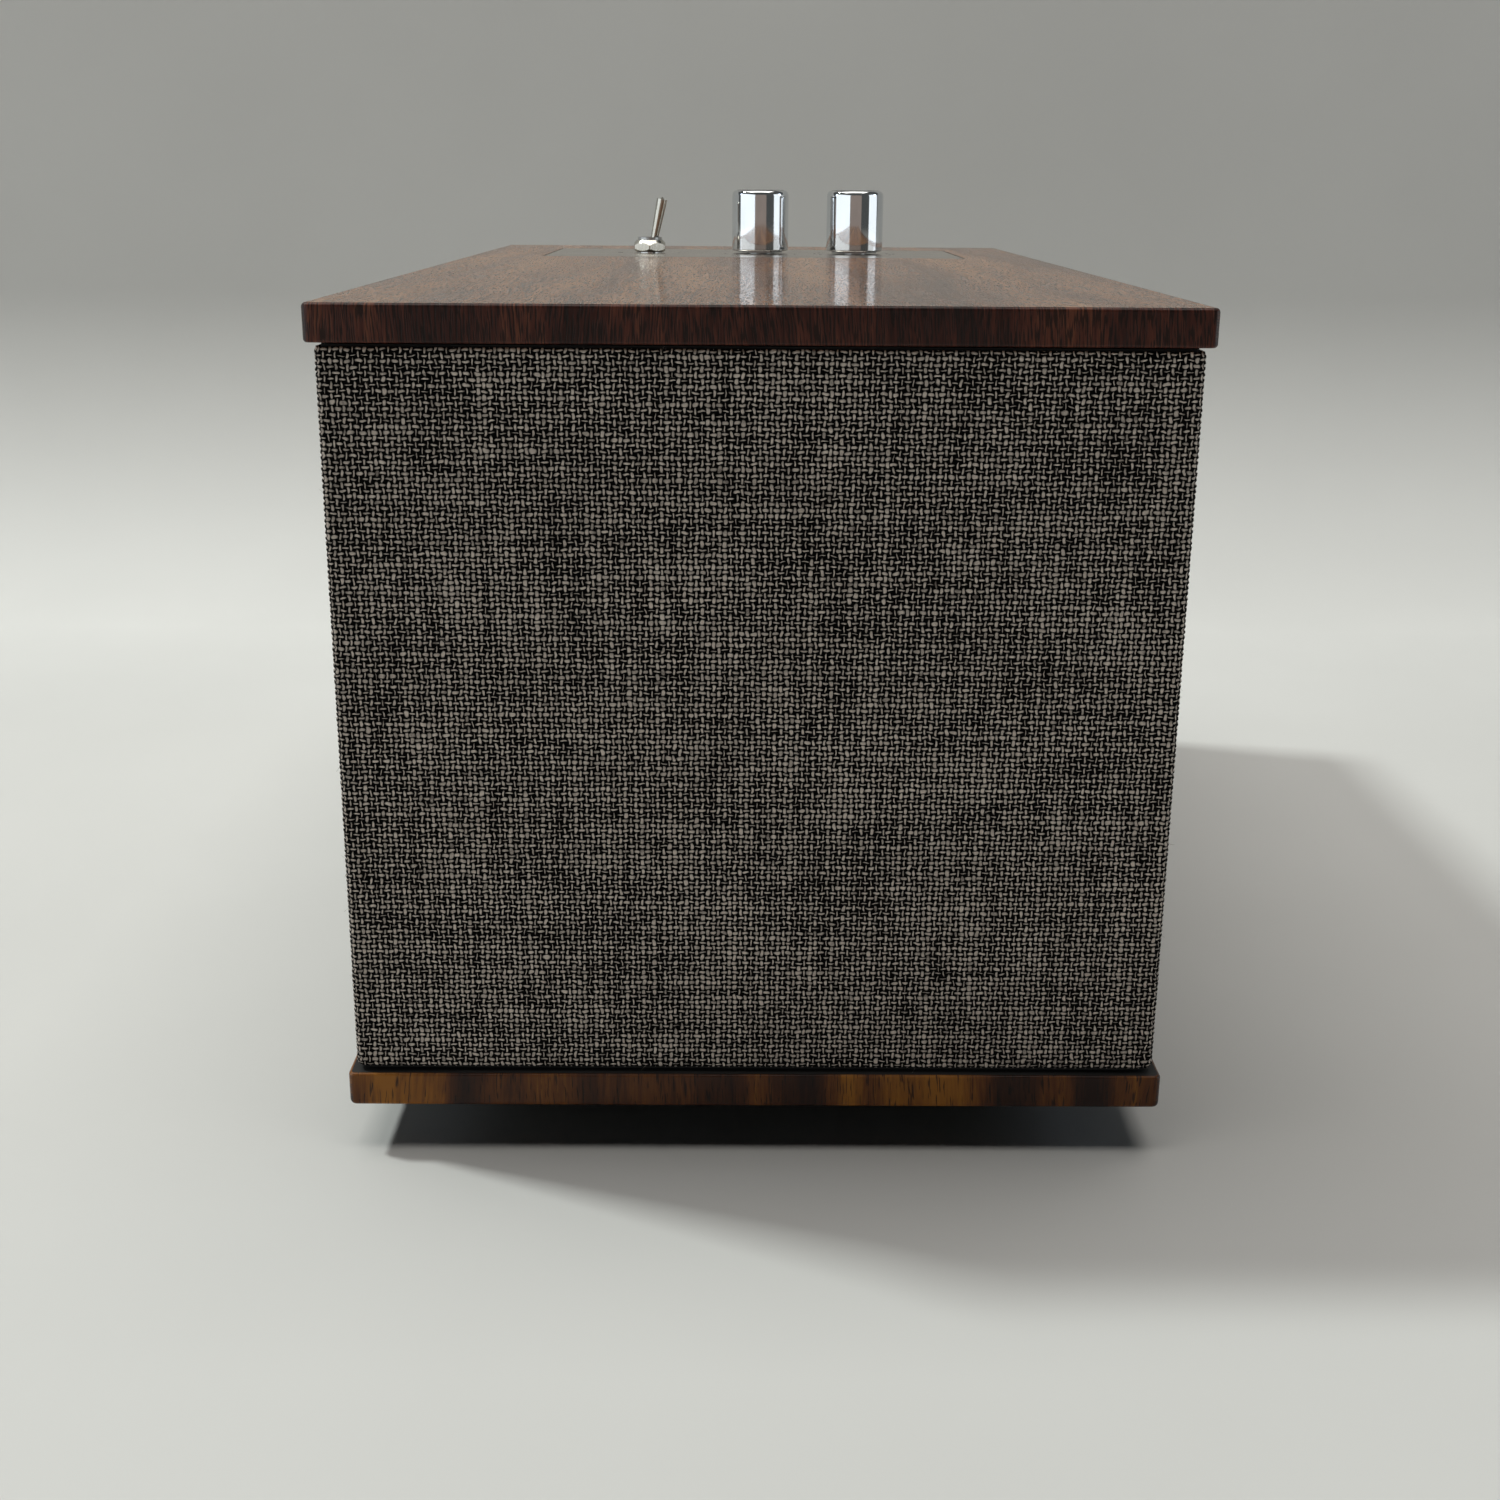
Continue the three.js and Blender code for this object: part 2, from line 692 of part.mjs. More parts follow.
function foot(place, x, y) {
  const geometry = turned([
    [5, 0], [FOOT.radius - 0.8, 0], [FOOT.radius, 0.8], [FOOT.radius, FOOT_HEIGHT - GAP],
    [2.2, FOOT_HEIGHT - GAP], [2.2, 5], [5, 5], [5, 0],
  ], 20);
  geometry.translate(x, y, 0);
  return named(`foot_${place}`, geometry, rubber);
}

function footScrew(place, x, y) {
  const screw = turned([
    [0, 2.2], [3, 2.2], [3.8, 3], [3.8, 4.7], [1.8, 4.7], [1.8, FOOT_HEIGHT + 3.6],
    [0, FOOT_HEIGHT + 4.6],
  ], 12);
  screw.translate(x, y, 0);
  const slots = [
    box(x - 2, x + 2, y - 0.4, y + 0.4, 0, 3.4),
    box(x - 0.4, x + 0.4, y - 2, y + 2, 0, 3.4),
  ];
  return named(`foot_screw_${place}`, cut(screw, slots), steel);
}

function feet() {
  return gather('feet', footPlaces().flatMap(([place, x, y]) => [
    foot(place, x, y),
    footScrew(place, x, y),
  ]));
}

const radio = gather('tabletop_radio', [
  cabinet(),
  controls(),
  driver('left', -DRIVER.x),
  driver('right', DRIVER.x),
  electronics(),
  rearConnectors(),
  feet(),
]);

export default radio;
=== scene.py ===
"""Looks of the tabletop radio: walnut slabs, grille cloth, chrome controls and the sockets behind."""
import math

import bmesh
import bpy
import numpy as np
from mathutils import Matrix, Vector


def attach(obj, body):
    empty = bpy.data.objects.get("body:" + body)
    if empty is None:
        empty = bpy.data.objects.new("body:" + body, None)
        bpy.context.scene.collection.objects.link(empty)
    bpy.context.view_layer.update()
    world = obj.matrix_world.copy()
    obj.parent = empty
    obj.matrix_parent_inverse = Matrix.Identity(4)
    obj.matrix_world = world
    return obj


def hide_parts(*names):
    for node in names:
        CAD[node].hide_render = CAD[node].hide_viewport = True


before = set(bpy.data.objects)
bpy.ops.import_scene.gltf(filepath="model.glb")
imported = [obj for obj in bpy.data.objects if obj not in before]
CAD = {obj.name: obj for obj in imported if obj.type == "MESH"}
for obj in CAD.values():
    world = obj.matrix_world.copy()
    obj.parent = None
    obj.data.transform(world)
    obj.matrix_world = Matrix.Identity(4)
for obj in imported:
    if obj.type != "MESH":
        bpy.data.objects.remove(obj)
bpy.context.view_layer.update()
MM = 0.001

# Sizes in millimetres, in the frame of the solids.
HALF_LENGTH = 132.5
HALF_DEPTH = 70.0
SLAB = 6.0
BOTTOM_SLAB_Z = 8.5
TOP_SLAB_Z = 137.5
TOP_Z = TOP_SLAB_Z + SLAB
CLOTH_X = 131.2
CLOTH_Y = 68.7
CLOTH_CORNER = 1.6
CLOTH_LOW = 15.3
CLOTH_HIGH = 136.95
THREAD = 0.907
CONTROL_X = 79.1
TOGGLE_Y = 26.95
VOLUME_Y = -26.2
TUNING_Y = -1.7
PLATE_HALF = (26.5, 52.0)
CUP_Z = 60.0
CUP_FACE_Y = 69.9
CUP_FLOOR_Y = 56.0
CUP_OPENING = (82, 42)
FEET = [(-102, -46), (102, -46), (-102, 46), (102, 46)]


# ---------------------------------------------------------------- materials

def linear(hex_colour):
    """An sRGB hex colour as linear RGBA."""
    parts = [int(hex_colour[i:i + 2], 16) / 255 for i in (1, 3, 5)]
    return tuple(c / 12.92 if c <= 0.04045 else ((c + 0.055) / 1.055) ** 2.4 for c in parts) + (1.0,)


def add(tree, kind, inputs=None, **settings):
    """Adds one node. An input given as a socket is linked, any other value is set."""
    node = tree.nodes.new(kind)
    for key, value in settings.items():
        setattr(node, key, value)
    for key, value in (inputs or {}).items():
        if isinstance(value, bpy.types.NodeSocket):
            tree.links.new(value, node.inputs[key])
        else:
            node.inputs[key].default_value = value
    return node


def start(name, **shader):
    """A new material: its tree, its shader with these sockets set, and object coordinates."""
    material = bpy.data.materials.new(name)
    material.use_nodes = True
    tree = material.node_tree
    tree.nodes.clear()
    bsdf = add(tree, "ShaderNodeBsdfPrincipled", {k.replace("_", " "): v for k, v in shader.items()})
    add(tree, "ShaderNodeOutputMaterial", {"Surface": bsdf.outputs["BSDF"]})
    place = add(tree, "ShaderNodeTexCoord").outputs["Object"]
    return material, tree, bsdf, place


def stops(node, *colours):
    """Sets a colour ramp's stops from (position, hex colour) pairs."""
    ramp = node.color_ramp
    while len(ramp.elements) < len(colours):
        ramp.elements.new(0.5)
    for element, (position, colour) in zip(ramp.elements, colours):
        element.position = position
        element.color = linear(colour)
    return node


def lacquered_walnut(name, seed, colours, figure, band, band_contrast, coat, pores, streaks=0.17,
                     relief_height=0.06, quarter_turn=False):
    """American walnut veneer, sanded and sprayed with satin lacquer: brown figure that runs along
    the length, short dark open pores, and a clear coat that mirrors softly at a low angle.
    Figure and band are noise scales per metre, and more pores show as their number falls."""
    material, tree, bsdf, place = start(name, IOR=1.5, Coat_Weight=coat, Coat_IOR=1.5)
    bsdf.inputs["Specular IOR Level"].default_value = 0.15
    if quarter_turn:
        place = add(tree, "ShaderNodeMapping", {
            "Vector": place, "Rotation": (math.pi / 2, 0, 0),
        }).outputs["Vector"]
    # Figure about 12 mm wide and 150 mm long, bent by a slow drift of the growth rings.
    drift = add(tree, "ShaderNodeTexNoise", {
        "Vector": add(tree, "ShaderNodeMapping", {
            "Vector": place, "Location": (seed, seed * 0.7, 0), "Scale": (9, 24, 8),
        }).outputs["Vector"], "Scale": 1.0, "Detail": 2.0,
    })
    bent = add(tree, "ShaderNodeVectorMath", {
        0: drift.outputs["Color"], 1: (0, 0.016, 0.004),
    }, operation="MULTIPLY")
    grain_place = add(tree, "ShaderNodeVectorMath", {0: place, 1: bent.outputs["Vector"]},
                      operation="ADD").outputs["Vector"]
    broad = add(tree, "ShaderNodeTexNoise", {
        "Vector": add(tree, "ShaderNodeMapping", {
            "Vector": grain_place, "Location": (seed * 1.3, seed, seed), "Scale": figure,
        }).outputs["Vector"], "Scale": 1.0, "Detail": 3.0, "Roughness": 0.55,
    })
    # Fibre streaks 0.6 mm wide and 25 mm long.
    fibre = add(tree, "ShaderNodeTexNoise", {
        "Vector": add(tree, "ShaderNodeMapping", {
            "Vector": grain_place, "Location": (seed, 3, 1), "Scale": (40, 1500, 130),
        }).outputs["Vector"], "Scale": 1.0, "Detail": 2.0, "Roughness": 0.6,
    })
    # Pores 0.2 mm wide and 3 mm long.
    pore = add(tree, "ShaderNodeTexNoise", {
        "Vector": add(tree, "ShaderNodeMapping", {
            "Vector": grain_place, "Location": (seed, 9, 5), "Scale": (300, 3400, 280),
        }).outputs["Vector"], "Scale": 1.0, "Detail": 1.0,
    })
    pore_mask = add(tree, "ShaderNodeMapRange", {
        "Value": pore.outputs["Fac"], "From Min": pores, "From Max": pores + 0.1,
    }, interpolation_type="SMOOTHSTEP")
    # Bands of heartwood and sapwood, each a few millimetres to a centimetre wide.
    stripe = add(tree, "ShaderNodeTexNoise", {
        "Vector": add(tree, "ShaderNodeMapping", {
            "Vector": grain_place, "Location": (0, seed * 2.1, 0), "Scale": band,
        }).outputs["Vector"], "Scale": 1.0, "Detail": 1.0, "Roughness": 0.4,
    })
    shade = add(tree, "ShaderNodeMath", {
        0: broad.outputs["Fac"],
        1: add(tree, "ShaderNodeMapRange", {
            "Value": stripe.outputs["Fac"], "From Min": 0.3, "From Max": 0.7,
            "To Min": -band_contrast, "To Max": band_contrast,
        }).outputs["Result"],
    }, operation="ADD")
    shade = add(tree, "ShaderNodeMath", {
        0: shade.outputs["Value"],
        1: add(tree, "ShaderNodeMapRange", {
            "Value": fibre.outputs["Fac"], "From Min": 0.25, "From Max": 0.75,
            "To Min": -streaks, "To Max": streaks,
        }).outputs["Result"],
    }, operation="ADD")
    ramp = stops(add(tree, "ShaderNodeValToRGB", {"Fac": shade.outputs["Value"]}), *colours)
    wood = add(tree, "ShaderNodeMix", {
        "Factor": add(tree, "ShaderNodeMath", {0: pore_mask.outputs["Result"], 1: 0.82},
                      operation="MULTIPLY").outputs["Value"],
        "A": ramp.outputs["Color"], "B": linear("#150b07"),
    }, data_type="RGBA")
    tree.links.new(wood.outputs["Result"], bsdf.inputs["Base Color"])
    rough = add(tree, "ShaderNodeMapRange", {
        "Value": fibre.outputs["Fac"], "From Min": 0.3, "From Max": 0.7,
        "To Min": 0.34, "To Max": 0.46,
    })
    tree.links.new(rough.outputs["Result"], bsdf.inputs["Roughness"])
    bsdf.inputs["Coat Roughness"].default_value = 0.08
    # The lacquer sinks into the pores and follows a faint orange peel about 2 mm across.
    peel = add(tree, "ShaderNodeTexNoise", {"Vector": place, "Scale": 520.0, "Detail": 1.0})
    relief = add(tree, "ShaderNodeMath", {
        0: add(tree, "ShaderNodeMath", {0: peel.outputs["Fac"], 1: 0.3},
               operation="MULTIPLY").outputs["Value"],
        1: add(tree, "ShaderNodeMath", {0: pore_mask.outputs["Result"], 1: 0.5},
               operation="MULTIPLY").outputs["Value"],
    }, operation="SUBTRACT")
    surface = add(tree, "ShaderNodeBump", {
        "Height": relief.outputs["Value"], "Strength": 0.75, "Distance": relief_height * MM,
    })
    tree.links.new(surface.outputs["Normal"], bsdf.inputs["Normal"])
    tree.links.new(surface.outputs["Normal"], bsdf.inputs["Coat Normal"])
    return material


def woven_grille_cloth(name):
    """Polyester grille cloth in a loose plain weave of uneven melange yarn: warm grey threads of
    varying thickness, with black yarn and the dark backing showing between them, and painted
    shade where each thread dives under the crossing threads."""
    material, tree, bsdf, _ = start(name, Roughness=0.92, IOR=1.46, Sheen_Weight=0.03,
                                    Sheen_Roughness=0.5)
    bsdf.inputs["Specular IOR Level"].default_value = 0.05
    strands = add(tree, "ShaderNodeMapping", {
        "Vector": add(tree, "ShaderNodeUVMap", uv_map="thread_map").outputs["UV"],
        "Scale": (1000 / THREAD, 1000 / THREAD, 1),
    }).outputs["Vector"]
    # The threads wander by about a tenth of their spacing.
    wander = add(tree, "ShaderNodeTexNoise", {"Vector": strands, "Scale": 0.45, "Detail": 2.0},
                 noise_dimensions="2D")
    wander = add(tree, "ShaderNodeVectorMath", {
        0: add(tree, "ShaderNodeVectorMath", {0: wander.outputs["Color"], 1: (0.5, 0.5, 0.5)},
               operation="SUBTRACT").outputs["Vector"],
        1: (0.8, 0.8, 0),
    }, operation="MULTIPLY")
    strands = add(tree, "ShaderNodeVectorMath", {0: strands, 1: wander.outputs["Vector"]},
                  operation="ADD").outputs["Vector"]
    axes = add(tree, "ShaderNodeSeparateXYZ", {"Vector": strands}).outputs

    def thread(across, along, offset):
        """One set of threads: its number, its round back, its rise and fall, and its tone."""
        number = add(tree, "ShaderNodeMath", {0: across}, operation="FLOOR").outputs["Value"]
        side = add(tree, "ShaderNodeMath", {
            0: add(tree, "ShaderNodeMath", {0: across}, operation="FRACT").outputs["Value"],
            1: 0.5,
        }, operation="SUBTRACT").outputs["Value"]
        row = add(tree, "ShaderNodeMath", {0: number, 1: 17.31}, operation="MULTIPLY")
        slow = add(tree, "ShaderNodeCombineXYZ", {
            "X": row.outputs["Value"],
            "Y": add(tree, "ShaderNodeMath", {0: along, 1: 0.04},
                     operation="MULTIPLY").outputs["Value"],
            "Z": offset,
        }).outputs["Vector"]
        quick = add(tree, "ShaderNodeCombineXYZ", {
            "X": row.outputs["Value"],
            "Y": add(tree, "ShaderNodeMath", {0: along, 1: 0.42},
                     operation="MULTIPLY").outputs["Value"],
            "Z": offset + 31,
        }).outputs["Vector"]
        # Slubs: the thread swells and thins over a centimetre or so.
        width = add(tree, "ShaderNodeMapRange", {
            "Value": add(tree, "ShaderNodeTexNoise", {
                "Vector": slow, "Scale": 1.0, "Detail": 3.0, "Roughness": 0.72,
            }).outputs["Fac"],
            "From Min": 0.37, "From Max": 0.65, "To Min": 0.09, "To Max": 0.35,
        }).outputs["Result"]
        # Melange: grey and black fibre change places every few crossings.
        tone = add(tree, "ShaderNodeTexNoise", {
            "Vector": quick, "Scale": 1.0, "Detail": 2.0, "Roughness": 0.6,
        }).outputs["Fac"]
        spread = add(tree, "ShaderNodeMath", {0: side, 1: width}, operation="DIVIDE")
        square = add(tree, "ShaderNodeMath", {
            0: spread.outputs["Value"], 1: spread.outputs["Value"],
        }, operation="MULTIPLY")
        left = add(tree, "ShaderNodeMath", {0: 1.0, 1: square.outputs["Value"]},
                   operation="SUBTRACT", use_clamp=True)
        crown = add(tree, "ShaderNodeMath", {0: left.outputs["Value"]}, operation="SQRT")
        lift = add(tree, "ShaderNodeMath", {
            0: add(tree, "ShaderNodeMath", {0: side, 1: math.pi},
                   operation="MULTIPLY").outputs["Value"],
        }, operation="COSINE")
        return number, crown.outputs["Value"], lift.outputs["Value"], tone

    warp_number, warp_crown, warp_lift, warp_tone = thread(axes["X"], axes["Y"], 0.0)
    weft_number, weft_crown, weft_lift, weft_tone = thread(axes["Y"], axes["X"], 67.0)
    parity = add(tree, "ShaderNodeMath", {
        0: add(tree, "ShaderNodeMath", {
            0: add(tree, "ShaderNodeMath", {0: warp_number, 1: weft_number},
                   operation="ADD").outputs["Value"],
            1: math.pi,
        }, operation="MULTIPLY").outputs["Value"],
    }, operation="COSINE").outputs["Value"]

    def height(crown, lift, sign):
        """A thread's height: its round back, raised or lowered where it crosses the others."""
        swing = add(tree, "ShaderNodeMath", {
            0: add(tree, "ShaderNodeMath", {0: parity, 1: lift},
                   operation="MULTIPLY").outputs["Value"],
            1: 0.5 * sign,
        }, operation="MULTIPLY")
        shown = add(tree, "ShaderNodeMath", {0: crown, 1: 0.05}, operation="GREATER_THAN")
        raised = add(tree, "ShaderNodeMath", {
            0: add(tree, "ShaderNodeMath", {0: crown, 1: 0.6},
                   operation="MULTIPLY").outputs["Value"],
            1: swing.outputs["Value"],
        }, operation="ADD")
        raised = add(tree, "ShaderNodeMath", {0: raised.outputs["Value"], 1: 0.6},
                     operation="ADD")
        return add(tree, "ShaderNodeMath", {
            0: raised.outputs["Value"], 1: shown.outputs["Value"],
        }, operation="MULTIPLY").outputs["Value"]

    warp = height(warp_crown, weft_lift, 1)
    weft = height(weft_crown, warp_lift, -1)
    over = add(tree, "ShaderNodeMath", {0: warp, 1: weft}, operation="GREATER_THAN")
    top = add(tree, "ShaderNodeMath", {0: warp, 1: weft}, operation="MAXIMUM").outputs["Value"]
    tone = add(tree, "ShaderNodeMix", {
        "Factor": over.outputs["Value"], "A": weft_tone, "B": warp_tone,
    }, data_type="FLOAT").outputs["Result"]
    # Patches a few centimetres across where more black fibre was spun in.
    patch = add(tree, "ShaderNodeTexNoise", {"Vector": strands, "Scale": 0.045, "Detail": 3.0},
                noise_dimensions="2D")
    tone = add(tree, "ShaderNodeMath", {
        0: tone,
        1: add(tree, "ShaderNodeMapRange", {
            "Value": patch.outputs["Fac"], "From Min": 0.3, "From Max": 0.7,
            "To Min": -0.03, "To Max": 0.03,
        }).outputs["Result"],
    }, operation="ADD")
    # Single fibres, about a sixth of a thread.
    fuzz = add(tree, "ShaderNodeTexNoise", {"Vector": strands, "Scale": 5.0, "Detail": 2.0},
               noise_dimensions="2D")
    tone = add(tree, "ShaderNodeMath", {
        0: tone.outputs["Value"],
        1: add(tree, "ShaderNodeMapRange", {
            "Value": fuzz.outputs["Fac"], "From Min": 0.3, "From Max": 0.7,
            "To Min": -0.05, "To Max": 0.05,
        }).outputs["Result"],
    }, operation="ADD")
    yarn = stops(add(tree, "ShaderNodeValToRGB", {"Fac": tone.outputs["Value"]}),
                 (0.24, "#8a807a"), (0.38, "#c9beb5"), (0.54, "#e9dcd2"), (0.72, "#f6eadf"))
    # Painted shade: a thread fades to near black as it dives under the crossing threads; where no
    # thread shows, the same near black is the dark backing.
    depth = add(tree, "ShaderNodeMapRange", {
        "Value": top, "From Min": 0.9, "From Max": 1.48,
    }, interpolation_type="SMOOTHSTEP")
    colour = add(tree, "ShaderNodeMix", {
        "Factor": depth.outputs["Result"], "A": linear("#030303"), "B": yarn.outputs["Color"],
    }, data_type="RGBA")
    tree.links.new(colour.outputs["Result"], bsdf.inputs["Base Color"])
    relief = add(tree, "ShaderNodeMath", {
        0: top,
        1: add(tree, "ShaderNodeMath", {0: fuzz.outputs["Fac"], 1: 0.25},
               operation="MULTIPLY").outputs["Value"],
    }, operation="ADD")
    bump = add(tree, "ShaderNodeBump", {
        "Height": relief.outputs["Value"], "Strength": 0.9, "Distance": 0.00022,
    })
    tree.links.new(bump.outputs["Normal"], bsdf.inputs["Normal"])
    return material


def speckled(name, colour, other, grain, amount, rough, bump, stretch=(1, 1, 1), **shader):
    """A finish whose colour wavers between two close shades over a fine surface grain, in grains
    per metre: moulded plastic, rubber, foam, board or sintered stone, by its numbers."""
    material, tree, bsdf, place = start(name, **shader)
    spot = add(tree, "ShaderNodeMapping", {
        "Vector": place, "Scale": tuple(grain * s for s in stretch),
    }).outputs["Vector"]
    fine = add(tree, "ShaderNodeTexNoise", {"Vector": spot, "Scale": 1.0, "Detail": 3.0})
    slow = add(tree, "ShaderNodeTexNoise", {"Vector": place, "Scale": 38.0, "Detail": 2.0})
    blend = add(tree, "ShaderNodeMix", {
        "Factor": amount, "A": fine.outputs["Fac"], "B": slow.outputs["Fac"],
    }, data_type="FLOAT")
    ramp = stops(add(tree, "ShaderNodeValToRGB", {"Fac": blend.outputs["Result"]}),
                 (0.32, colour), (0.68, other))
    tree.links.new(ramp.outputs["Color"], bsdf.inputs["Base Color"])
    matt = add(tree, "ShaderNodeMapRange", {
        "Value": slow.outputs["Fac"], "From Min": 0.3, "From Max": 0.7,
        "To Min": rough[0], "To Max": rough[1],
    })
    tree.links.new(matt.outputs["Result"], bsdf.inputs["Roughness"])
    relief = add(tree, "ShaderNodeBump", {
        "Height": fine.outputs["Fac"], "Strength": 0.6, "Distance": bump * MM,
    })
    tree.links.new(relief.outputs["Normal"], bsdf.inputs["Normal"])
    return material


def worked_metal(name, colour, other, rough, stretch, relief):
    """Bare or plated metal: fine tool or polishing lines along one way, in lines per metre, and
    faint cloudy wear in the gloss."""
    material, tree, bsdf, place = start(name, Metallic=1.0)
    lines = add(tree, "ShaderNodeTexNoise", {
        "Vector": add(tree, "ShaderNodeMapping", {
            "Vector": place, "Scale": stretch,
        }).outputs["Vector"], "Scale": 1.0, "Detail": 2.0,
    })
    cloud = add(tree, "ShaderNodeTexNoise", {"Vector": place, "Scale": 120.0, "Detail": 3.0})
    ramp = stops(add(tree, "ShaderNodeValToRGB", {"Fac": lines.outputs["Fac"]}),
                 (0.25, colour), (0.75, other))
    tree.links.new(ramp.outputs["Color"], bsdf.inputs["Base Color"])
    gloss = add(tree, "ShaderNodeMapRange", {
        "Value": cloud.outputs["Fac"], "From Min": 0.3, "From Max": 0.75,
        "To Min": rough[0], "To Max": rough[1],
    })
    tree.links.new(gloss.outputs["Result"], bsdf.inputs["Roughness"])
    bump = add(tree, "ShaderNodeBump", {
        "Height": lines.outputs["Fac"], "Strength": 0.4, "Distance": relief * MM,
    })
    tree.links.new(bump.outputs["Normal"], bsdf.inputs["Normal"])
    return material


# The top face is lighter and glossier than the strips that edge the two slabs.
WALNUT_FACE = lacquered_walnut(
    "lacquered_walnut_veneer_face", 4.7,
    [(0.22, "#5c3a22"), (0.42, "#7d5130"), (0.58, "#98673e"), (0.8, "#b07f50")],
    figure=(7, 85, 30), band=(2.5, 55, 14), band_contrast=0.07, coat=0.66, pores=0.51,
    relief_height=0.15)
# Red-brown heartwood on the upper slab's edges.
UPPER_EDGE = {"figure": (7, 85, 30), "band": (2.5, 55, 14), "band_contrast": 0.1}
WALNUT_TOP = lacquered_walnut(
    "lacquered_walnut_edge_top", 4.7,
    [(0.22, "#240f0a"), (0.42, "#411e17"), (0.58, "#5a2e22"), (0.8, "#7e4a32")],
    coat=0.12, pores=0.48, **UPPER_EDGE)
# Along the front and rear the edge strips lie with their grain level.
WALNUT_TOP_SIDE = lacquered_walnut(
    "lacquered_walnut_edge_top_side", 4.7,
    [(0.22, "#1e0d09"), (0.42, "#361c15"), (0.58, "#4b2a1f"), (0.8, "#6e432d")],
    coat=0.3, pores=0.5, quarter_turn=True, **UPPER_EDGE)
# Golden sapwood between dark bands on the lower slab's edges.
WALNUT_BOTTOM = lacquered_walnut(
    "lacquered_walnut_edge_bottom", 11.3,
    [(0.2, "#28130b"), (0.42, "#4a2711"), (0.58, "#6f4018"), (0.78, "#a0661f")],
    figure=(7, 75, 12), band=(2.5, 110, 6), band_contrast=0.27, coat=0.15, pores=0.59,
    streaks=0.1)
WALNUT_BOTTOM_SIDE = lacquered_walnut(
    "lacquered_walnut_edge_bottom_side", 11.3,
    [(0.2, "#28130b"), (0.42, "#4a2711"), (0.58, "#63391a"), (0.78, "#85531f")],
    figure=(7, 75, 12), band=(2.5, 135, 6), band_contrast=0.14, coat=0.3, pores=0.54,
    quarter_turn=True)
GRILLE_CLOTH = woven_grille_cloth("woven_grille_cloth")
# Loose polyester fibre: pale warm grey.
FIBRE = speckled("polyester_fibre", "#6f6a63", "#a8a298", 4000, 0.3, (0.8, 0.9), 0.001)
# Closed-cell foam strip, cut: matt black with fine cells.
FOAM = speckled("cut_black_foam", "#070707", "#0f0f0f", 2600, 0.2, (0.85, 0.95), 0.08)
# Moulded natural rubber: near black, a little chalky.
RUBBER = speckled("moulded_black_rubber", "#121212", "#1e1d1c", 1500, 0.4, (0.7, 0.85), 0.03)
# ABS from a spark-eroded mould: an even fine texture of about 0.3 mm.
ABS = speckled("moulded_black_abs", "#141415", "#1c1c1d", 3200, 0.2, (0.42, 0.52), 0.025)
# The slab's faces under the cloth and against the table are sealed with matt black paint.
BLACK_PAINT = speckled("matt_black_sealer", "#0d0c0c", "#171615", 1100, 0.4, (0.6, 0.75), 0.02)
FIBREBOARD = speckled("sanded_fibreboard", "#8a6a45", "#a98a60", 900, 0.3, (0.8, 0.9), 0.04)
SOLDER_MASK = speckled("green_solder_mask", "#0f4426", "#1a6238", 700, 0.5, (0.3, 0.42), 0.01)
FERRITE = speckled("sintered_ferrite", "#232325", "#333336", 1800, 0.3, (0.55, 0.7), 0.03)
PULP = speckled("pressed_paper_pulp", "#1b1b1a", "#2c2b29", 1200, 0.3, (0.85, 0.95), 0.08,
                stretch=(1, 0.4, 1))
PVC = speckled("extruded_pvc_jacket", "#1d1d1e", "#2a2a2b", 1400, 0.3, (0.45, 0.55), 0.01)
RIBBON = speckled("grey_ribbon_cable", "#7c7d80", "#979899", 1500, 0.2, (0.5, 0.6), 0.02,
                  stretch=(0.02, 1, 0.02))
SLEEVE = speckled("shrunk_capacitor_sleeve", "#17191f", "#20242c", 900, 0.4, (0.3, 0.4), 0.01)
INK = speckled("screen_printed_ink", "#1a1a1a", "#262626", 2500, 0.3, (0.5, 0.6), 0.01)
# Chromium plate over polished brass: bluish white, almost a mirror.
CHROME = worked_metal("polished_chrome_plate", "#d6d9dc", "#e2e4e6", (0.045, 0.11),
                      (300, 300, 120), 0.002)
# Stainless sheet brushed along its length: lines about 0.15 mm apart.
BRUSHED = worked_metal("brushed_stainless_sheet", "#ada49b", "#c9c0b6", (0.23, 0.27),
                       (6500, 90, 300), 0.006)
ZINC = worked_metal("bright_zinc_plate", "#a7a9ab", "#c0c2c3", (0.28, 0.4), (500, 500, 500), 0.006)
NICKEL = worked_metal("turned_nickel_plate", "#b4b0a6", "#c9c6bd", (0.16, 0.26),
                      (400, 3000, 400), 0.004)
BRASS = worked_metal("turned_brass", "#a8834a", "#c7a468", (0.25, 0.36), (300, 300, 4000), 0.006)
ALUMINIUM = worked_metal("extruded_aluminium", "#9a9c9f", "#b3b5b7", (0.35, 0.48),
                         (3500, 60, 3500), 0.01)
TINPLATE = worked_metal("rolled_tinplate", "#a5a6a6", "#b9baba", (0.3, 0.42), (90, 1800, 90), 0.004)


# ---------------------------------------------------------------- mesh building

def eased(profile, steps=4):
    """A profile of (a, b) or (a, b, radius) rows with its stated corners rounded."""
    result = []
    for i, row in enumerate(profile):
        point = Vector(row[:2])
        if len(row) < 3:
            result.append(tuple(point))
            continue
        back = (Vector(profile[i - 1][:2]) - point).normalized() * row[2]
        ahead = (Vector(profile[(i + 1) % len(profile)][:2]) - point).normalized() * row[2]
        for k in range(steps + 1):
            t = k / steps
            result.append(tuple(point + back * (1 - t) ** 2 + ahead * t ** 2))
    return result


def outline(half_x, half_y, corner, steps=6):
    """The points of a rectangle with rounded corners, anticlockwise."""
    points = []
    for k, (sx, sy) in enumerate([(1, -1), (1, 1), (-1, 1), (-1, -1)]):
        for n in range(steps + 1):
            angle = math.radians(-90 + 90 * k + 90 * n / steps)
            points.append((sx * (half_x - corner) + corner * math.cos(angle),
                           sy * (half_y - corner) + corner * math.sin(angle)))
    return points


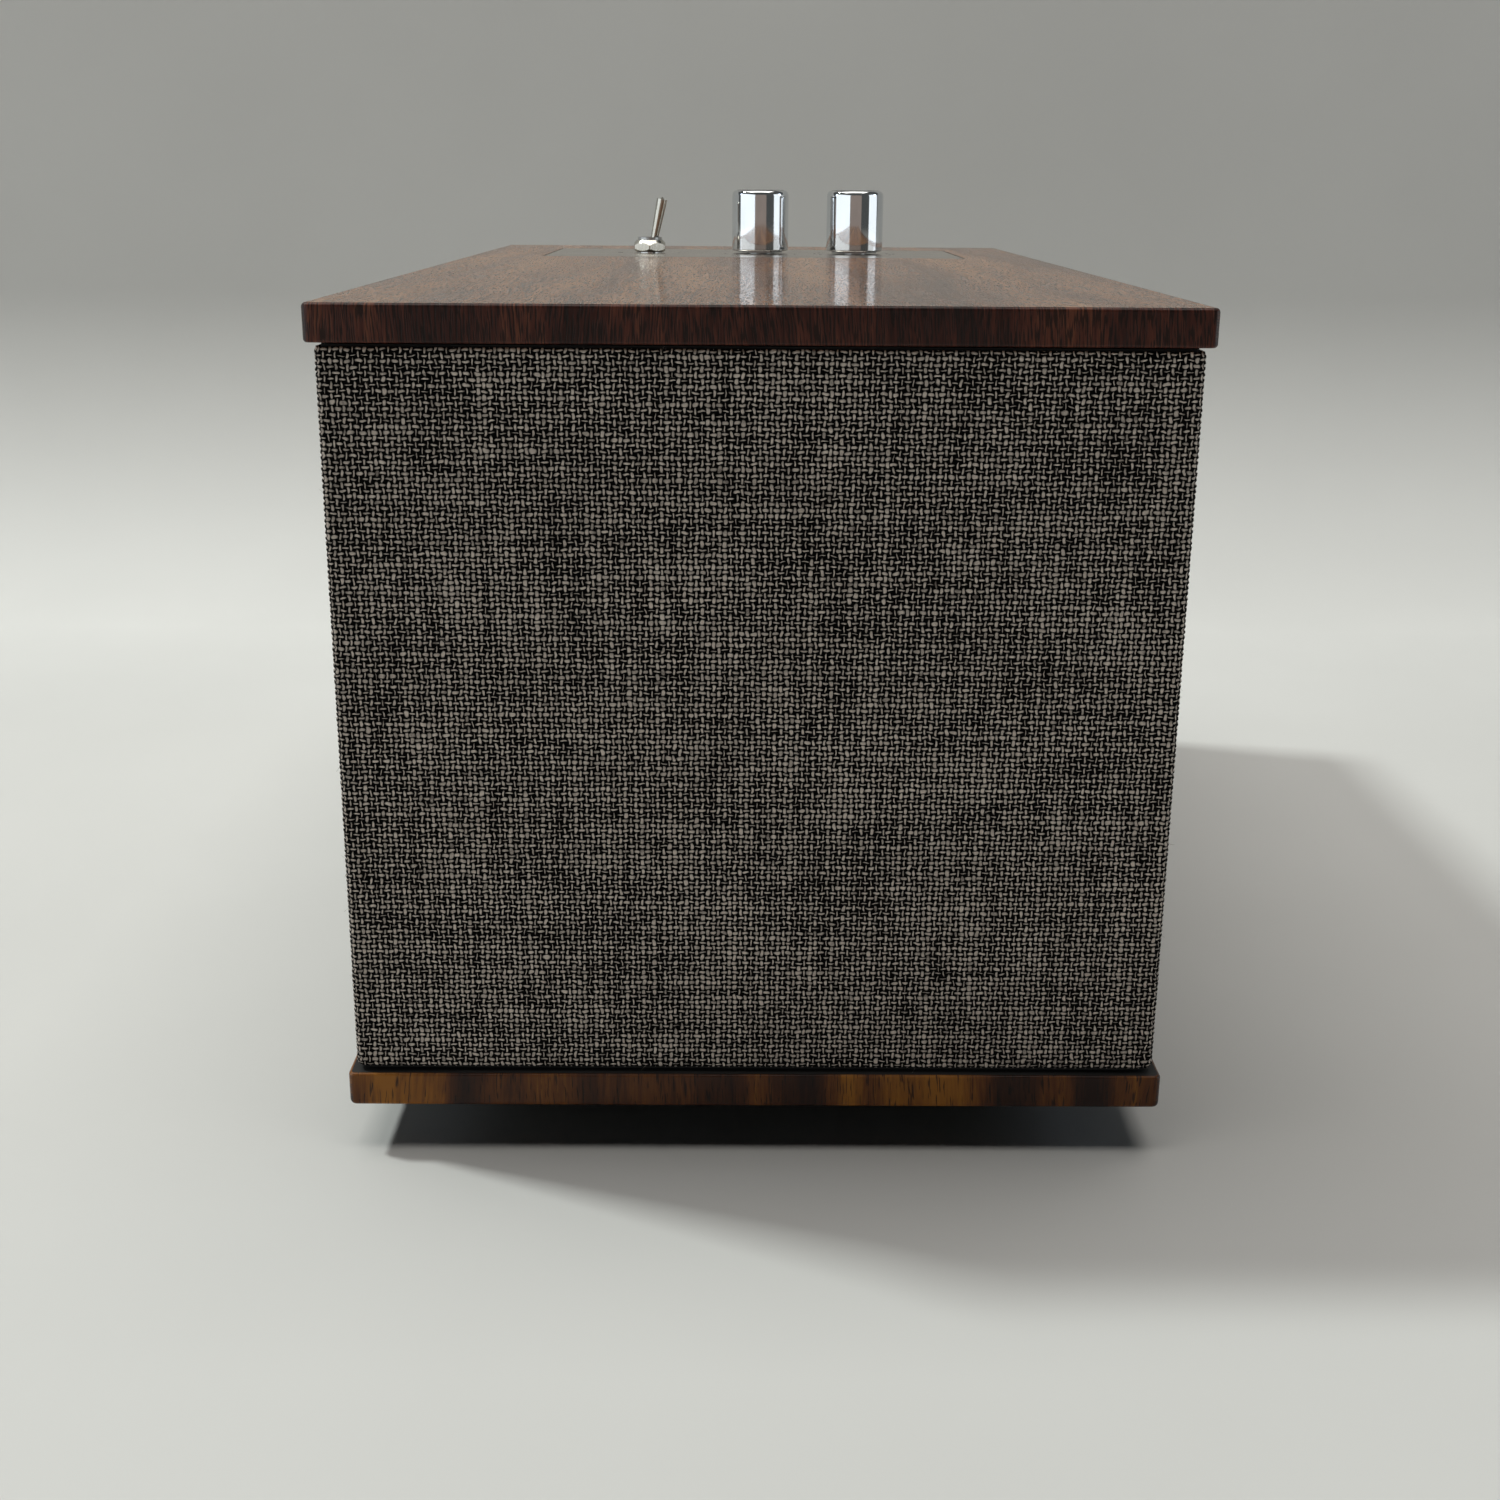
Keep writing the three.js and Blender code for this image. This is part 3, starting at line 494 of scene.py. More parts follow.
def finished(name, bm, material, sharp=32.0):
    """Turns a closed bmesh into an object with outward faces and edges sharp past an angle."""
    bmesh.ops.remove_doubles(bm, verts=bm.verts, dist=1e-7)
    bmesh.ops.dissolve_degenerate(bm, edges=bm.edges, dist=1e-8)
    bmesh.ops.recalc_face_normals(bm, faces=bm.faces)
    for face in bm.faces:
        face.smooth = True
    for edge in bm.edges:
        edge.smooth = edge.is_manifold and edge.calc_face_angle(0.0) < math.radians(sharp)
    mesh = bpy.data.meshes.new(name)
    bm.to_mesh(mesh)
    bm.free()
    mesh.materials.append(material)
    piece = bpy.data.objects.new(name, mesh)
    bpy.context.scene.collection.objects.link(piece)
    return piece


def skin(name, rings, material, closed=False, sharp=32.0):
    """A solid through rings of points in millimetres, capped at both ends or closed on itself."""
    bm = bmesh.new()
    rows = [[bm.verts.new(Vector(point) * MM) for point in ring] for ring in rings]
    pairs = list(zip(rows, rows[1:]))
    if closed:
        pairs.append((rows[-1], rows[0]))
    for low, high in pairs:
        for k in range(len(low)):
            n = (k + 1) % len(low)
            bm.faces.new((low[k], low[n], high[n], high[k]))
    if not closed:
        for row in (rows[0], rows[-1]):
            if (row[0].co - row[1].co).length > 1e-6:
                bm.faces.new(row)
    return finished(name, bm, material, sharp)


def turned(name, profile, material, segments=64, closed=False, sharp=32.0):
    """A solid turned about Z from (radius, height) rows."""
    angles = [2 * math.pi * k / segments for k in range(segments)]
    rings = [[(r * math.cos(a), r * math.sin(a), h) for a in angles] for r, h in profile]
    return skin(name, rings, material, closed, sharp)


def place(piece, x, y, z, tilt=0.0, lying=False):
    """Moves the mesh itself, so that the object stays at the origin. Lying turns +Z to +Y."""
    turn = Matrix.Rotation(math.radians(-90 if lying else tilt), 4, "X")
    piece.data.transform(Matrix.Translation(Vector((x, y, z)) * MM) @ turn)
    return piece


def flat_faces_stay_flat(piece):
    """Weighted normals, so that the eased edges don't shade the flats."""
    modifier = piece.modifiers.new("flat faces", "WEIGHTED_NORMAL")
    modifier.keep_sharp = True
    return piece


def stands_for(piece, body, *nodes):
    """The piece takes the place of these solids and moves with their body."""
    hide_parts(*nodes)
    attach(piece, body)
    return piece


def grown(name, host, tree, values):
    """The plain mesh that a geometry tree makes on a host mesh, with its named inputs set."""
    piece = bpy.data.objects.new(name, host)
    bpy.context.scene.collection.objects.link(piece)
    modifier = piece.modifiers.new("tree", "NODES")
    modifier.node_group = tree
    for socket in tree.interface.items_tree:
        if socket.in_out == "INPUT" and socket.name in values:
            modifier[socket.identifier] = values[socket.name]
    bpy.context.view_layer.update()
    solved = piece.evaluated_get(bpy.context.evaluated_depsgraph_get())
    mesh = bpy.data.meshes.new_from_object(solved)
    piece.modifiers.remove(modifier)
    piece.data = mesh
    mesh.name = name
    return piece


def geometry_tree(name, **sockets):
    """An empty geometry tree with a geometry in and out and these named inputs."""
    tree = bpy.data.node_groups.new(name, "GeometryNodeTree")
    tree.interface.new_socket("Geometry", in_out="INPUT", socket_type="NodeSocketGeometry")
    for label, kind in sockets.items():
        tree.interface.new_socket(label.replace("_", " "), in_out="INPUT", socket_type=kind)
    tree.interface.new_socket("Geometry", in_out="OUTPUT", socket_type="NodeSocketGeometry")
    return tree, add(tree, "NodeGroupInput").outputs


# ---------------------------------------------------------------- slabs and seals

def arc_edge(upper, thickness, lower, steps=4):
    """(inset, height) rows down a slab's side, round at the upper and lower edge."""
    rows = []
    for k in range(1, steps + 1):
        angle = math.radians(90 * k / steps)
        rows.append((-upper + upper * math.sin(angle), thickness - upper + upper * math.cos(angle)))
    for k in range(steps + 1):
        angle = math.radians(90 * k / steps)
        rows.append((-lower + lower * math.cos(angle), lower - lower * math.sin(angle)))
    return rows


def veneer_strips(piece, flat, side):
    """Gives a slab's flat faces one finish and its front and rear edges another."""
    piece.data.materials.append(flat)
    piece.data.materials.append(side)
    for face in piece.data.polygons:
        if abs(face.normal.z) > 0.99:
            face.material_index = 1
        elif abs(face.normal.y) > 0.5:
            face.material_index = 2


def top_slab():
    """The upper slab, with the pocket that the control plate lies in."""
    pocket = [(x + CONTROL_X, y) for x, y in outline(PLATE_HALF[0] + 0.25, PLATE_HALF[1] + 0.25, 0.7)]
    rings = [[(x, y, TOP_Z - 1.2) for x, y in pocket], [(x, y, TOP_Z) for x, y in pocket]]
    edge = [(-0.7, SLAB)] + arc_edge(0.7, SLAB, 0.5)
    for inset, height in edge:
        rings.append([(x, y, TOP_SLAB_Z + height)
                      for x, y in outline(HALF_LENGTH + inset, HALF_DEPTH + inset, 1.3 + inset)])
    piece = skin("walnut_top_slab", rings, WALNUT_TOP)
    veneer_strips(piece, WALNUT_FACE, WALNUT_TOP_SIDE)
    return stands_for(flat_faces_stay_flat(piece), "radio", "top_slab")


def bottom_slab():
    """The lower slab, a little rounder below than above, with its flat faces painted black."""
    rings = []
    for inset, height in [(-0.5, SLAB)] + arc_edge(0.5, SLAB, 0.8):
        rings.append([(x, y, BOTTOM_SLAB_Z + height)
                      for x, y in outline(HALF_LENGTH + inset, HALF_DEPTH + inset, 1.3 + inset)])
    piece = skin("walnut_bottom_slab", rings, WALNUT_BOTTOM)
    veneer_strips(piece, BLACK_PAINT, WALNUT_BOTTOM_SIDE)
    return stands_for(flat_faces_stay_flat(piece), "radio", "bottom_slab")


# ---------------------------------------------------------------- cloth

def cloth_columns():
    """Places round the sleeve as (x, y, normal x, normal y, distance), anticlockwise from the
    seam at the rear, close together round the corners where the threads show in outline."""
    hx = CLOTH_X - CLOTH_CORNER
    hy = CLOTH_Y - CLOTH_CORNER
    near = [THREAD / 3 * k for k in range(1, 4)]

    def run(a, b, marks):
        """Places from a to b along a straight side, close at both ends, with marks between."""
        length = abs(b - a)
        spots = near + [m for m in marks if 1 < m < length - 1] + [length - d for d in near[::-1]]
        return [a + math.copysign(s, b - a) for s in spots]

    seam_x = 96.0
    points = [(seam_x, CLOTH_Y, 0, 1, -0.8), (seam_x - 0.15, CLOTH_Y, 0, 1, -0.3),
              (seam_x - 0.6, CLOTH_Y, 0, 1, 0)]
    points += [(x, CLOTH_Y, 0, 1, 0) for x in (60, 41, 20, 0, -20, -41, -60, -85, -110, -125)]
    points += [(-hx + d, CLOTH_Y, 0, 1, 0) for d in near[::-1]]
    sides = [
        ((-hx, hy), 90, lambda t: (-CLOTH_X, t, -1, 0, 0), (hy, -hy)),
        ((-hx, -hy), 180, lambda t: (t, -CLOTH_Y, 0, -1, 0), (-hx, hx)),
        ((hx, -hy), 270, lambda t: (CLOTH_X, t, 1, 0, 0), (-hy, hy)),
    ]
    steps = 9
    for (cx, cy), begin, spot, (a, b) in sides:
        for k in range(steps + 1):
            angle = math.radians(begin + 90 * k / steps)
            c, s = math.cos(angle), math.sin(angle)
            points.append((cx + CLOTH_CORNER * c, cy + CLOTH_CORNER * s, c, s, 0))
        marks = np.linspace(6, abs(b - a) - 6, 7)
        points += [spot(t) for t in run(a, b, marks)]
    for k in range(steps + 1):
        angle = math.radians(90 * k / steps)
        c, s = math.cos(angle), math.sin(angle)
        points.append((hx + CLOTH_CORNER * c, hy + CLOTH_CORNER * s, c, s, 0))
    points += [(hx - d, CLOTH_Y, 0, 1, 0) for d in near]
    points += [(115, CLOTH_Y, 0, 1, 0), (seam_x + 0.6, CLOTH_Y, 0, 1, 0),
               (seam_x + 0.15, CLOTH_Y, 0, 1, -0.3), (seam_x + 0.02, CLOTH_Y, 0, 1, -0.8)]
    return points


def cloth_sleeve():
    """The cloth as one band wrapped round the walls, its edges turned in at top and bottom, its
    two ends tucked in at the rear, and an opening for the connector cup."""
    columns = np.array(cloth_columns())
    step = np.hypot(np.diff(columns[:, 0]), np.diff(columns[:, 1]))
    along = np.concatenate([[0], np.cumsum(step)])
    rows = np.arange(CLOTH_LOW, CLOTH_HIGH + 1e-6, THREAD / 3)
    rng = np.random.default_rng(7)
    swell = rng.uniform(0.3, 1.0, len(rows) // 3 + 2)
    threads = np.array([swell[k // 3] for k in range(len(rows))])
    ridge = 0.15 * np.cos(2 * math.pi * rows / THREAD) * threads
    fray = rng.normal(0, 0.025, (len(columns), len(rows)))
    from_end = np.minimum(rows - CLOTH_LOW, CLOTH_HIGH - rows)
    tuck = -0.45 * np.clip(1 - from_end / 0.75, 0, 1) ** 2
    vertices = []
    for c, (x, y, nx, ny, inset) in enumerate(columns):
        out = ridge + fray[c] + tuck + inset
        for r, z in enumerate(rows):
            vertices.append(((x + nx * out[r]) * MM, (y + ny * out[r]) * MM, z * MM))
    count = len(rows)
    faces = []
    for c in range(len(columns) - 1):
        middle = (columns[c][0] + columns[c + 1][0]) / 2
        behind = min(columns[c][1], columns[c + 1][1]) > CLOTH_Y - 0.1
        for r in range(count - 1):
            height = rows[r] + 0.15 - CUP_Z
            if behind and abs(middle) < CUP_OPENING[0] / 2 and abs(height) < CUP_OPENING[1] / 2:
                continue
            a = c * count + r
            faces.append((a, a + count, a + count + 1, a + 1))
    mesh = bpy.data.meshes.new("grille_cloth_sleeve")
    mesh.from_pydata(vertices, [], faces)
    layer = mesh.uv_layers.new(name="thread_map")
    spots = np.empty(len(mesh.loops), dtype=np.int32)
    mesh.loops.foreach_get("vertex_index", spots)
    flat = np.stack([along[spots // count] * MM, rows[spots % count] * MM], axis=1)
    layer.data.foreach_set("uv", flat.astype(np.float32).ravel())
    mesh.polygons.foreach_set("use_smooth", [True] * len(mesh.polygons))
    mesh.materials.append(GRILLE_CLOTH)
    mesh.validate()
    piece = bpy.data.objects.new("grille_cloth_sleeve", mesh)
    bpy.context.scene.collection.objects.link(piece)
    bm = bmesh.new()
    bm.from_mesh(mesh)
    loose = [v for v in bm.verts if not v.link_faces]
    bmesh.ops.delete(bm, geom=loose, context="VERTS")
    bm.to_mesh(mesh)
    bm.free()
    fibres = loose_fibres(mesh)
    wall = piece.modifiers.new("cloth thickness", "SOLIDIFY")
    wall.thickness = 0.35 * MM
    wall.offset = -1
    stands_for(piece, "radio", "cloth_sleeve")
    return piece


def loose_fibres(cloth):
    """Short fibres that stand out of the yarn: scattered over the cloth, each a bent hair with
    three sides, leaning almost flat."""
    tree, given = geometry_tree("loose_fibres", Density="NodeSocketFloat", Seed="NodeSocketInt",
                                Fibre_Length="NodeSocketFloat", Fibre_Radius="NodeSocketFloat",
                                Finish="NodeSocketMaterial")
    spread = add(tree, "GeometryNodeDistributePointsOnFaces", {
        "Mesh": given["Geometry"], "Density": given["Density"], "Seed": given["Seed"],
    }, distribute_method="RANDOM")
    hair = add(tree, "GeometryNodeCurveQuadraticBezier", {
        "Resolution": 3, "Start": (0, 0, -0.0001), "Middle": (0.00035, 0, 0.0004),
        "End": (0.0001, 0.0002, 0.001),
    })
    ring = add(tree, "GeometryNodeCurvePrimitiveCircle", {
        "Resolution": 3, "Radius": given["Fibre Radius"],
    }, mode="RADIUS")
    tube = add(tree, "GeometryNodeCurveToMesh", {
        "Curve": hair.outputs["Curve"], "Profile Curve": ring.outputs["Curve"], "Fill Caps": True,
    })
    lean = add(tree, "FunctionNodeRandomValue", {
        "Min": (0.7, 0, 0), "Max": (1.5, 0, 6.283), "Seed": given["Seed"],
    }, data_type="FLOAT_VECTOR")
    turn = add(tree, "FunctionNodeRotateRotation", {
        "Rotation": spread.outputs["Rotation"],
        "Rotate By": add(tree, "FunctionNodeEulerToRotation", {
            "Euler": lean.outputs["Value"],
        }).outputs["Rotation"],
    }, rotation_space="LOCAL")
    # A single number's lowest and highest value are sockets 2 and 3 of this node.
    length = add(tree, "FunctionNodeRandomValue", {
        2: 0.4, 3: given["Fibre Length"], "Seed": 5,
    }, data_type="FLOAT")
    scattered = add(tree, "GeometryNodeInstanceOnPoints", {
        "Points": spread.outputs["Points"], "Instance": tube.outputs["Mesh"],
        "Rotation": turn.outputs["Rotation"], "Scale": length.outputs[1],
    })
    solid = add(tree, "GeometryNodeRealizeInstances", {"Geometry": scattered.outputs["Instances"]})
    dressed = add(tree, "GeometryNodeSetMaterial", {
        "Geometry": solid.outputs["Geometry"], "Material": given["Finish"],
    })
    add(tree, "NodeGroupOutput", {"Geometry": dressed.outputs["Geometry"]})
    fibres = grown("cloth_fibres", cloth.copy(), tree, {
        "Density": 52000.0, "Seed": 3, "Fibre Length": 1.1, "Fibre Radius": 0.00002,
        "Finish": FIBRE,
    })
    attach(fibres, "radio")
    return fibres


# ---------------------------------------------------------------- controls

def control_plate():
    """A 1 mm brushed plate with eased edges, let in flush with the veneer."""
    rings = []
    for inset, height in [(-0.15, 0)] + arc_edge(0.15, 0, 0.0):
        rings.append([(CONTROL_X + x, y, TOP_Z + height)
                      for x, y in outline(PLATE_HALF[0] + inset, PLATE_HALF[1] + inset, 0.6)])
    rings.append([(CONTROL_X + x, y, TOP_Z - 1) for x, y in outline(*PLATE_HALF, 0.6)])
    piece = skin("brushed_control_plate", rings, BRUSHED)
    return stands_for(flat_faces_stay_flat(piece), "radio", "control_plate")


def knob(name, y, body, *nodes):
    """A solid turned knob with eased edges, a shallow dished top and a hollow under it."""
    profile = eased([
        (0, 15.55), (5.6, 15.55, 0.25), (5.9, 15.8, 0.2), (7.3, 15.8, 1.5), (7.3, 0.7, 0.5),
        (6.3, 0.7, 0.2), (6.3, 2.9), (3.3, 2.9), (3.3, 13.3), (0, 13.3),
    ], steps=5)
    piece = place(turned(name, profile, CHROME, 96), CONTROL_X, y, TOP_Z)
    return stands_for(piece, body, *nodes)


def toggle():
    """The switch above the plate: a nut chamfered at both ends, the threaded bushing and the
    bat lever."""
    # Eight millimetres across the flats, turned down to a circle at both ends of the hexagon.
    flat, crown, heel, level, foot = 4.0, 3.4, 3.6, 3.2, 0.25
    turn, count = math.radians(2), 96
    angles = [2 * math.pi * k / count for k in range(count)]
    reach = [flat / math.cos((a - turn) % (math.pi / 3) - math.pi / 6) for a in angles]
    rings = []
    for radius, z in ((3.3, foot), (3.3, level), (crown, level)):
        rings.append([(radius * math.cos(a), radius * math.sin(a), z) for a in angles])
    rings.append([(r * math.cos(a), r * math.sin(a), level - 1.1 * (r - crown))
                  for a, r in zip(angles, reach)])
    rings.append([(r * math.cos(a), r * math.sin(a), foot + 0.8 * (r - heel))
                  for a, r in zip(angles, reach)])
    rings.append([(heel * math.cos(a), heel * math.sin(a), foot) for a in angles])
    nut = skin("plated_toggle_nut", rings, NICKEL, closed=True, sharp=18)
    place(nut, CONTROL_X, TOGGLE_Y, TOP_Z)
    stands_for(nut, "radio", "toggle_nut")

    # The bushing carries a fine thread of 0.6 mm pitch above the nut and a rolled mouth.
    thread = []
    for k in range(6):
        z = 0.3 + 0.6 * k
        thread += [(3.1, z), (2.9, z + 0.3)]
    profile = [(2.4, -3), (3.1, -3)] + thread + eased([(3.05, 3.9, 0.2), (2.5, 3.9, 0.15)])
    bushing = turned("toggle_bushing", profile, CHROME, 64, closed=True)
    place(bushing, CONTROL_X, TOGGLE_Y, TOP_Z)
    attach(bushing, "radio")

    lever = turned("plated_toggle_lever", [(0, -7)] + eased([
        (0.7, -7, 0.2), (0.7, -1.44), (1.4, -0.78, 0.3), (1.6, 0, 0.4), (1.4, 0.78, 0.3),
        (0.95, 1.4), (0.95, 5.2), (1.35, 14.4), (1.35, 16.25, 1.05),
    ]) + [(0, 16.3)], NICKEL, 48)
    place(lever, CONTROL_X, TOGGLE_Y, TOP_Z - 2, tilt=12)
    stands_for(lever, "toggle_arm", "toggle_lever")


def printed_marks():
    """Generic marks round each knob and beside the switch: rings of small printed dots."""
    tree, given = geometry_tree("ring_of_marks", Count="NodeSocketInt", Radius="NodeSocketFloat",
                                First_Angle="NodeSocketFloat", Step_Angle="NodeSocketFloat",
                                Dot_Radius="NodeSocketFloat", Finish="NodeSocketMaterial")
    line = add(tree, "GeometryNodeMeshLine", {"Count": given["Count"], "Offset": (0, 0, 0)})
    angle = add(tree, "ShaderNodeMath", {
        0: add(tree, "GeometryNodeInputIndex").outputs["Index"],
        1: given["Step Angle"], 2: given["First Angle"],
    }, operation="MULTIPLY_ADD").outputs["Value"]
    spot = add(tree, "ShaderNodeCombineXYZ", {
        "X": add(tree, "ShaderNodeMath", {
            0: add(tree, "ShaderNodeMath", {0: angle}, operation="COSINE").outputs["Value"],
            1: given["Radius"],
        }, operation="MULTIPLY").outputs["Value"],
        "Y": add(tree, "ShaderNodeMath", {
            0: add(tree, "ShaderNodeMath", {0: angle}, operation="SINE").outputs["Value"],
            1: given["Radius"],
        }, operation="MULTIPLY").outputs["Value"],
    })
    moved = add(tree, "GeometryNodeSetPosition", {
        "Geometry": line.outputs["Mesh"], "Position": spot.outputs["Vector"],
    })
    dot = add(tree, "GeometryNodeMeshCylinder", {
        "Vertices": 20, "Radius": given["Dot Radius"], "Depth": 0.00004,
    })
    many = add(tree, "GeometryNodeInstanceOnPoints", {
        "Points": moved.outputs["Geometry"], "Instance": dot.outputs["Mesh"],
    })
    solid = add(tree, "GeometryNodeRealizeInstances", {"Geometry": many.outputs["Instances"]})
    dressed = add(tree, "GeometryNodeSetMaterial", {
        "Geometry": solid.outputs["Geometry"], "Material": given["Finish"],
    })
    add(tree, "NodeGroupOutput", {"Geometry": dressed.outputs["Geometry"]})
    sets = [
        ("volume_marks", VOLUME_Y, 11, 10.3, 30, 30, 0.32),
        ("tuning_marks", TUNING_Y, 5, 10.3, 120, 30, 0.32),
        ("switch_on_mark", TOGGLE_Y, 1, 7.6, 90, 0, 0.6),
        ("switch_off_mark", TOGGLE_Y, 1, 7.6, 270, 0, 0.3),
    ]
    for name, y, count, radius, first, step, size in sets:
        piece = grown(name, bpy.data.meshes.new(name + "_host"), tree, {
            "Count": count, "Radius": radius * MM, "First Angle": math.radians(first),
            "Step Angle": math.radians(step), "Dot Radius": size * MM, "Finish": INK,
        })
        place(piece, CONTROL_X, y, TOP_Z + 0.02)
        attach(piece, "radio")


# ---------------------------------------------------------------- connector cup

def connector_cup():
    """A moulded cup: a flange with eased edges, then drafted walls down to a floor."""
    levels = [
        (36.0, 16.0, 1.0, CUP_FLOOR_Y),
        (36.25, 16.25, 1.2, CUP_FLOOR_Y + 0.25),
        (36.4, 16.4, 1.6, CUP_FACE_Y - 0.6),
        (36.6, 16.6, 1.8, CUP_FACE_Y - 0.15),
        (37.1, 17.1, 2.2, CUP_FACE_Y),
        (42.5, 22.5, 2.2, CUP_FACE_Y),
        (42.85, 22.85, 2.5, CUP_FACE_Y - 0.15),
        (43.0, 23.0, 2.6, CUP_FACE_Y - 0.5),
        (43.0, 23.0, 2.6, CUP_FACE_Y - 2.0),
        (38.0, 18.0, 1.6, CUP_FACE_Y - 2.0),
        (38.0, 18.0, 1.6, CUP_FLOOR_Y - 2.0),
    ]
    rings = [[(x, depth, CUP_Z + z) for x, z in outline(hx, hz, corner)]
             for hx, hz, corner, depth in levels]
    piece = skin("moulded_connector_cup", rings, ABS)
    stands_for(flat_faces_stay_flat(piece), "radio", "connector_cup")


def cross_headed_screw(name, head, head_height, shank, length, material):
    """A countersunk or cheese-headed screw along Z with a cross recess cut in its head."""
    screw = turned(name, eased([
        (0, 0), (head, 0, 0.12), (head if head_height > 1.2 else head * 0.92, -head_height, 0.1),
        (shank, -head_height - (0 if head_height > 1.2 else 1.0)), (shank, -length + 1),
        (0, -length),
    ]), material, 40)
    arm = head * 0.55
    for turn in (0, 90):
        slot = skin("slot", [[(x, y, z) for x, y in outline(arm * k, 0.34 * k, 0.1)]
                             for z, k in ((0.5, 1.05), (-0.9, 0.55))], material)
        slot.data.transform(Matrix.Rotation(math.radians(turn), 4, "Z"))
        cut = screw.modifiers.new("recess", "BOOLEAN")
        cut.object = slot
        cut.operation = "DIFFERENCE"
        cut.solver = "EXACT"
        bpy.context.view_layer.update()
        solved = screw.evaluated_get(bpy.context.evaluated_depsgraph_get())
        mesh = bpy.data.meshes.new_from_object(solved)
        screw.modifiers.remove(cut)
        screw.data = mesh
        bpy.data.objects.remove(slot)
    return screw


def set_of_screws(name, screw, points, lying, nodes):
    """The same screw at each point, as one mesh."""
    tree, given = geometry_tree(name + "_tree", Screw="NodeSocketObject",
                                Turn="NodeSocketVector", Finish="NodeSocketMaterial")
    one = add(tree, "GeometryNodeObjectInfo", {"Object": given["Screw"]})
    many = add(tree, "GeometryNodeInstanceOnPoints", {
        "Points": given["Geometry"], "Instance": one.outputs["Geometry"],
        "Rotation": add(tree, "FunctionNodeEulerToRotation", {
            "Euler": given["Turn"],
        }).outputs["Rotation"],
    })
    solid = add(tree, "GeometryNodeRealizeInstances", {"Geometry": many.outputs["Instances"]})
    dressed = add(tree, "GeometryNodeSetMaterial", {
        "Geometry": solid.outputs["Geometry"], "Material": given["Finish"],
    })
    add(tree, "NodeGroupOutput", {"Geometry": dressed.outputs["Geometry"]})
    host = bpy.data.meshes.new(name + "_host")
    host.from_pydata([Vector(p) * MM for p in points], [], [])
    turn = (-math.pi / 2, 0, 0.0) if lying else (math.pi, 0, 0.0)
    piece = grown(name, host, tree, {"Screw": screw, "Turn": turn, "Finish": ZINC})
    bpy.data.objects.remove(screw)
    return stands_for(piece, "radio", *nodes)


def sockets():
    """Power jack, audio jack and threaded antenna socket, standing out of the cup's floor."""
    power = turned("power_jack_barrel", eased([
        (0, -6), (1.0, -6), (1.0, 1.0, 0.5), (0.0, 1.4),
    ]), NICKEL, 32)
    place(power, -22, CUP_FLOOR_Y, CUP_Z, lying=True)
    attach(power, "radio")
    housing = turned("power_jack_housing", eased([
        (0, -9), (3.1, -9), (3.1, 3, 0.3), (5, 3, 0.35), (5, -2), (6.5, -2), (6.5, -14), (0, -14),
    ]), ABS, 48)
    place(housing, -22, CUP_FLOOR_Y, CUP_Z, lying=True)
    stands_for(housing, "radio", "power_jack")

    audio = turned("aux_jack_housing", eased([
        (0, -10), (1.8, -10), (1.8, 2, 0.25), (3.0, 2, 0.2), (3.0, 1.2), (3.8, 1.2, 0.2),
        (3.8, -2), (5.2, -2), (5.2, -13), (0, -13),
    ]), NICKEL, 48)
    place(audio, 0, CUP_FLOOR_Y, CUP_Z, lying=True)
    stands_for(audio, "radio", "aux_jack")

    profile = eased([
        (0, 2), (0.9, 2), (0.9, 9.2, 0.2), (3.4, 9.2), (3.4, 9.8, 0.1), (4.4, 9.8, 0.2),
    ])
    for k in range(11):
        z = 9.2 - 0.8 * k
        profile += [(4.75, z), (4.4, z - 0.4)]
    profile += eased([(4.4, 0.2), (5.9, 0.2, 0.3), (5.9, -2), (3, -7), (3, -12), (0, -12)])
    antenna = turned("antenna_socket_barrel", profile, NICKEL, 48)
    place(antenna, 22, CUP_FLOOR_Y, CUP_Z, lying=True)
    stands_for(antenna, "radio", "antenna_socket")


# ---------------------------------------------------------------- feet

def feet():
    """Four turned rubber feet with a recess for the screw."""
    corners = ["front_left", "front_right", "rear_left", "rear_right"]
    for corner, (x, y) in zip(corners, FEET):
        profile = eased([
            (2.2, 8.2), (8, 8.2, 0.3), (7.9, 0.0, 1.1), (5, 0.0, 0.4), (4.9, 5.0, 0.4), (2.2, 5.0),
        ])
        foot = place(turned("rubber_foot_" + corner, profile, RUBBER, 64, closed=True), x, y, 0)
        stands_for(foot, "radio", "foot_" + corner)
    screw = cross_headed_screw("foot_screw", 3.8, 2.4, 1.8, 10.6, ZINC)
    set_of_screws("foot_screws", screw, [(x, y, 2.3) for x, y in FEET], False,
                  ["foot_screw_" + corner for corner in corners])


# ---------------------------------------------------------------- solids kept as they are

KEPT = {
    FOAM: ["top_gasket", "bottom_gasket"],
    FIBREBOARD: ["front_baffle", "rear_wall", "left_side_panel", "right_side_panel"],
    ZINC: ["toggle_body", "volume_rotary_body", "tuning_rotary_body", "volume_nut", "tuning_nut",
           "left_driver_basket", "right_driver_basket"],
    BRASS: ["volume_shaft", "tuning_shaft", "control_spacer_front", "control_spacer_rear"],
    SOLDER_MASK: ["control_board", "main_board"],
    FERRITE: ["left_driver_magnet", "right_driver_magnet"],
    PULP: ["left_driver_cone", "right_driver_cone"],
    RUBBER: ["left_driver_surround", "right_driver_surround"],
    ABS: ["board_rail_front", "board_rail_rear"],
    SLEEVE: ["supply_capacitor_left", "supply_capacitor_right"],
    TINPLATE: ["tuner_can"],
    ALUMINIUM: ["amplifier_heatsink"],
    RIBBON: ["ribbon_cable"],
    PVC: ["left_speaker_lead", "right_speaker_lead", "antenna_lead"],
}


def finish_kept_solids():
    """Gives the solids that stay as they are their finish."""
    for material, names in KEPT.items():
        for name in names:
            mesh = CAD[name].data
            mesh.materials.clear()
            mesh.materials.append(material)


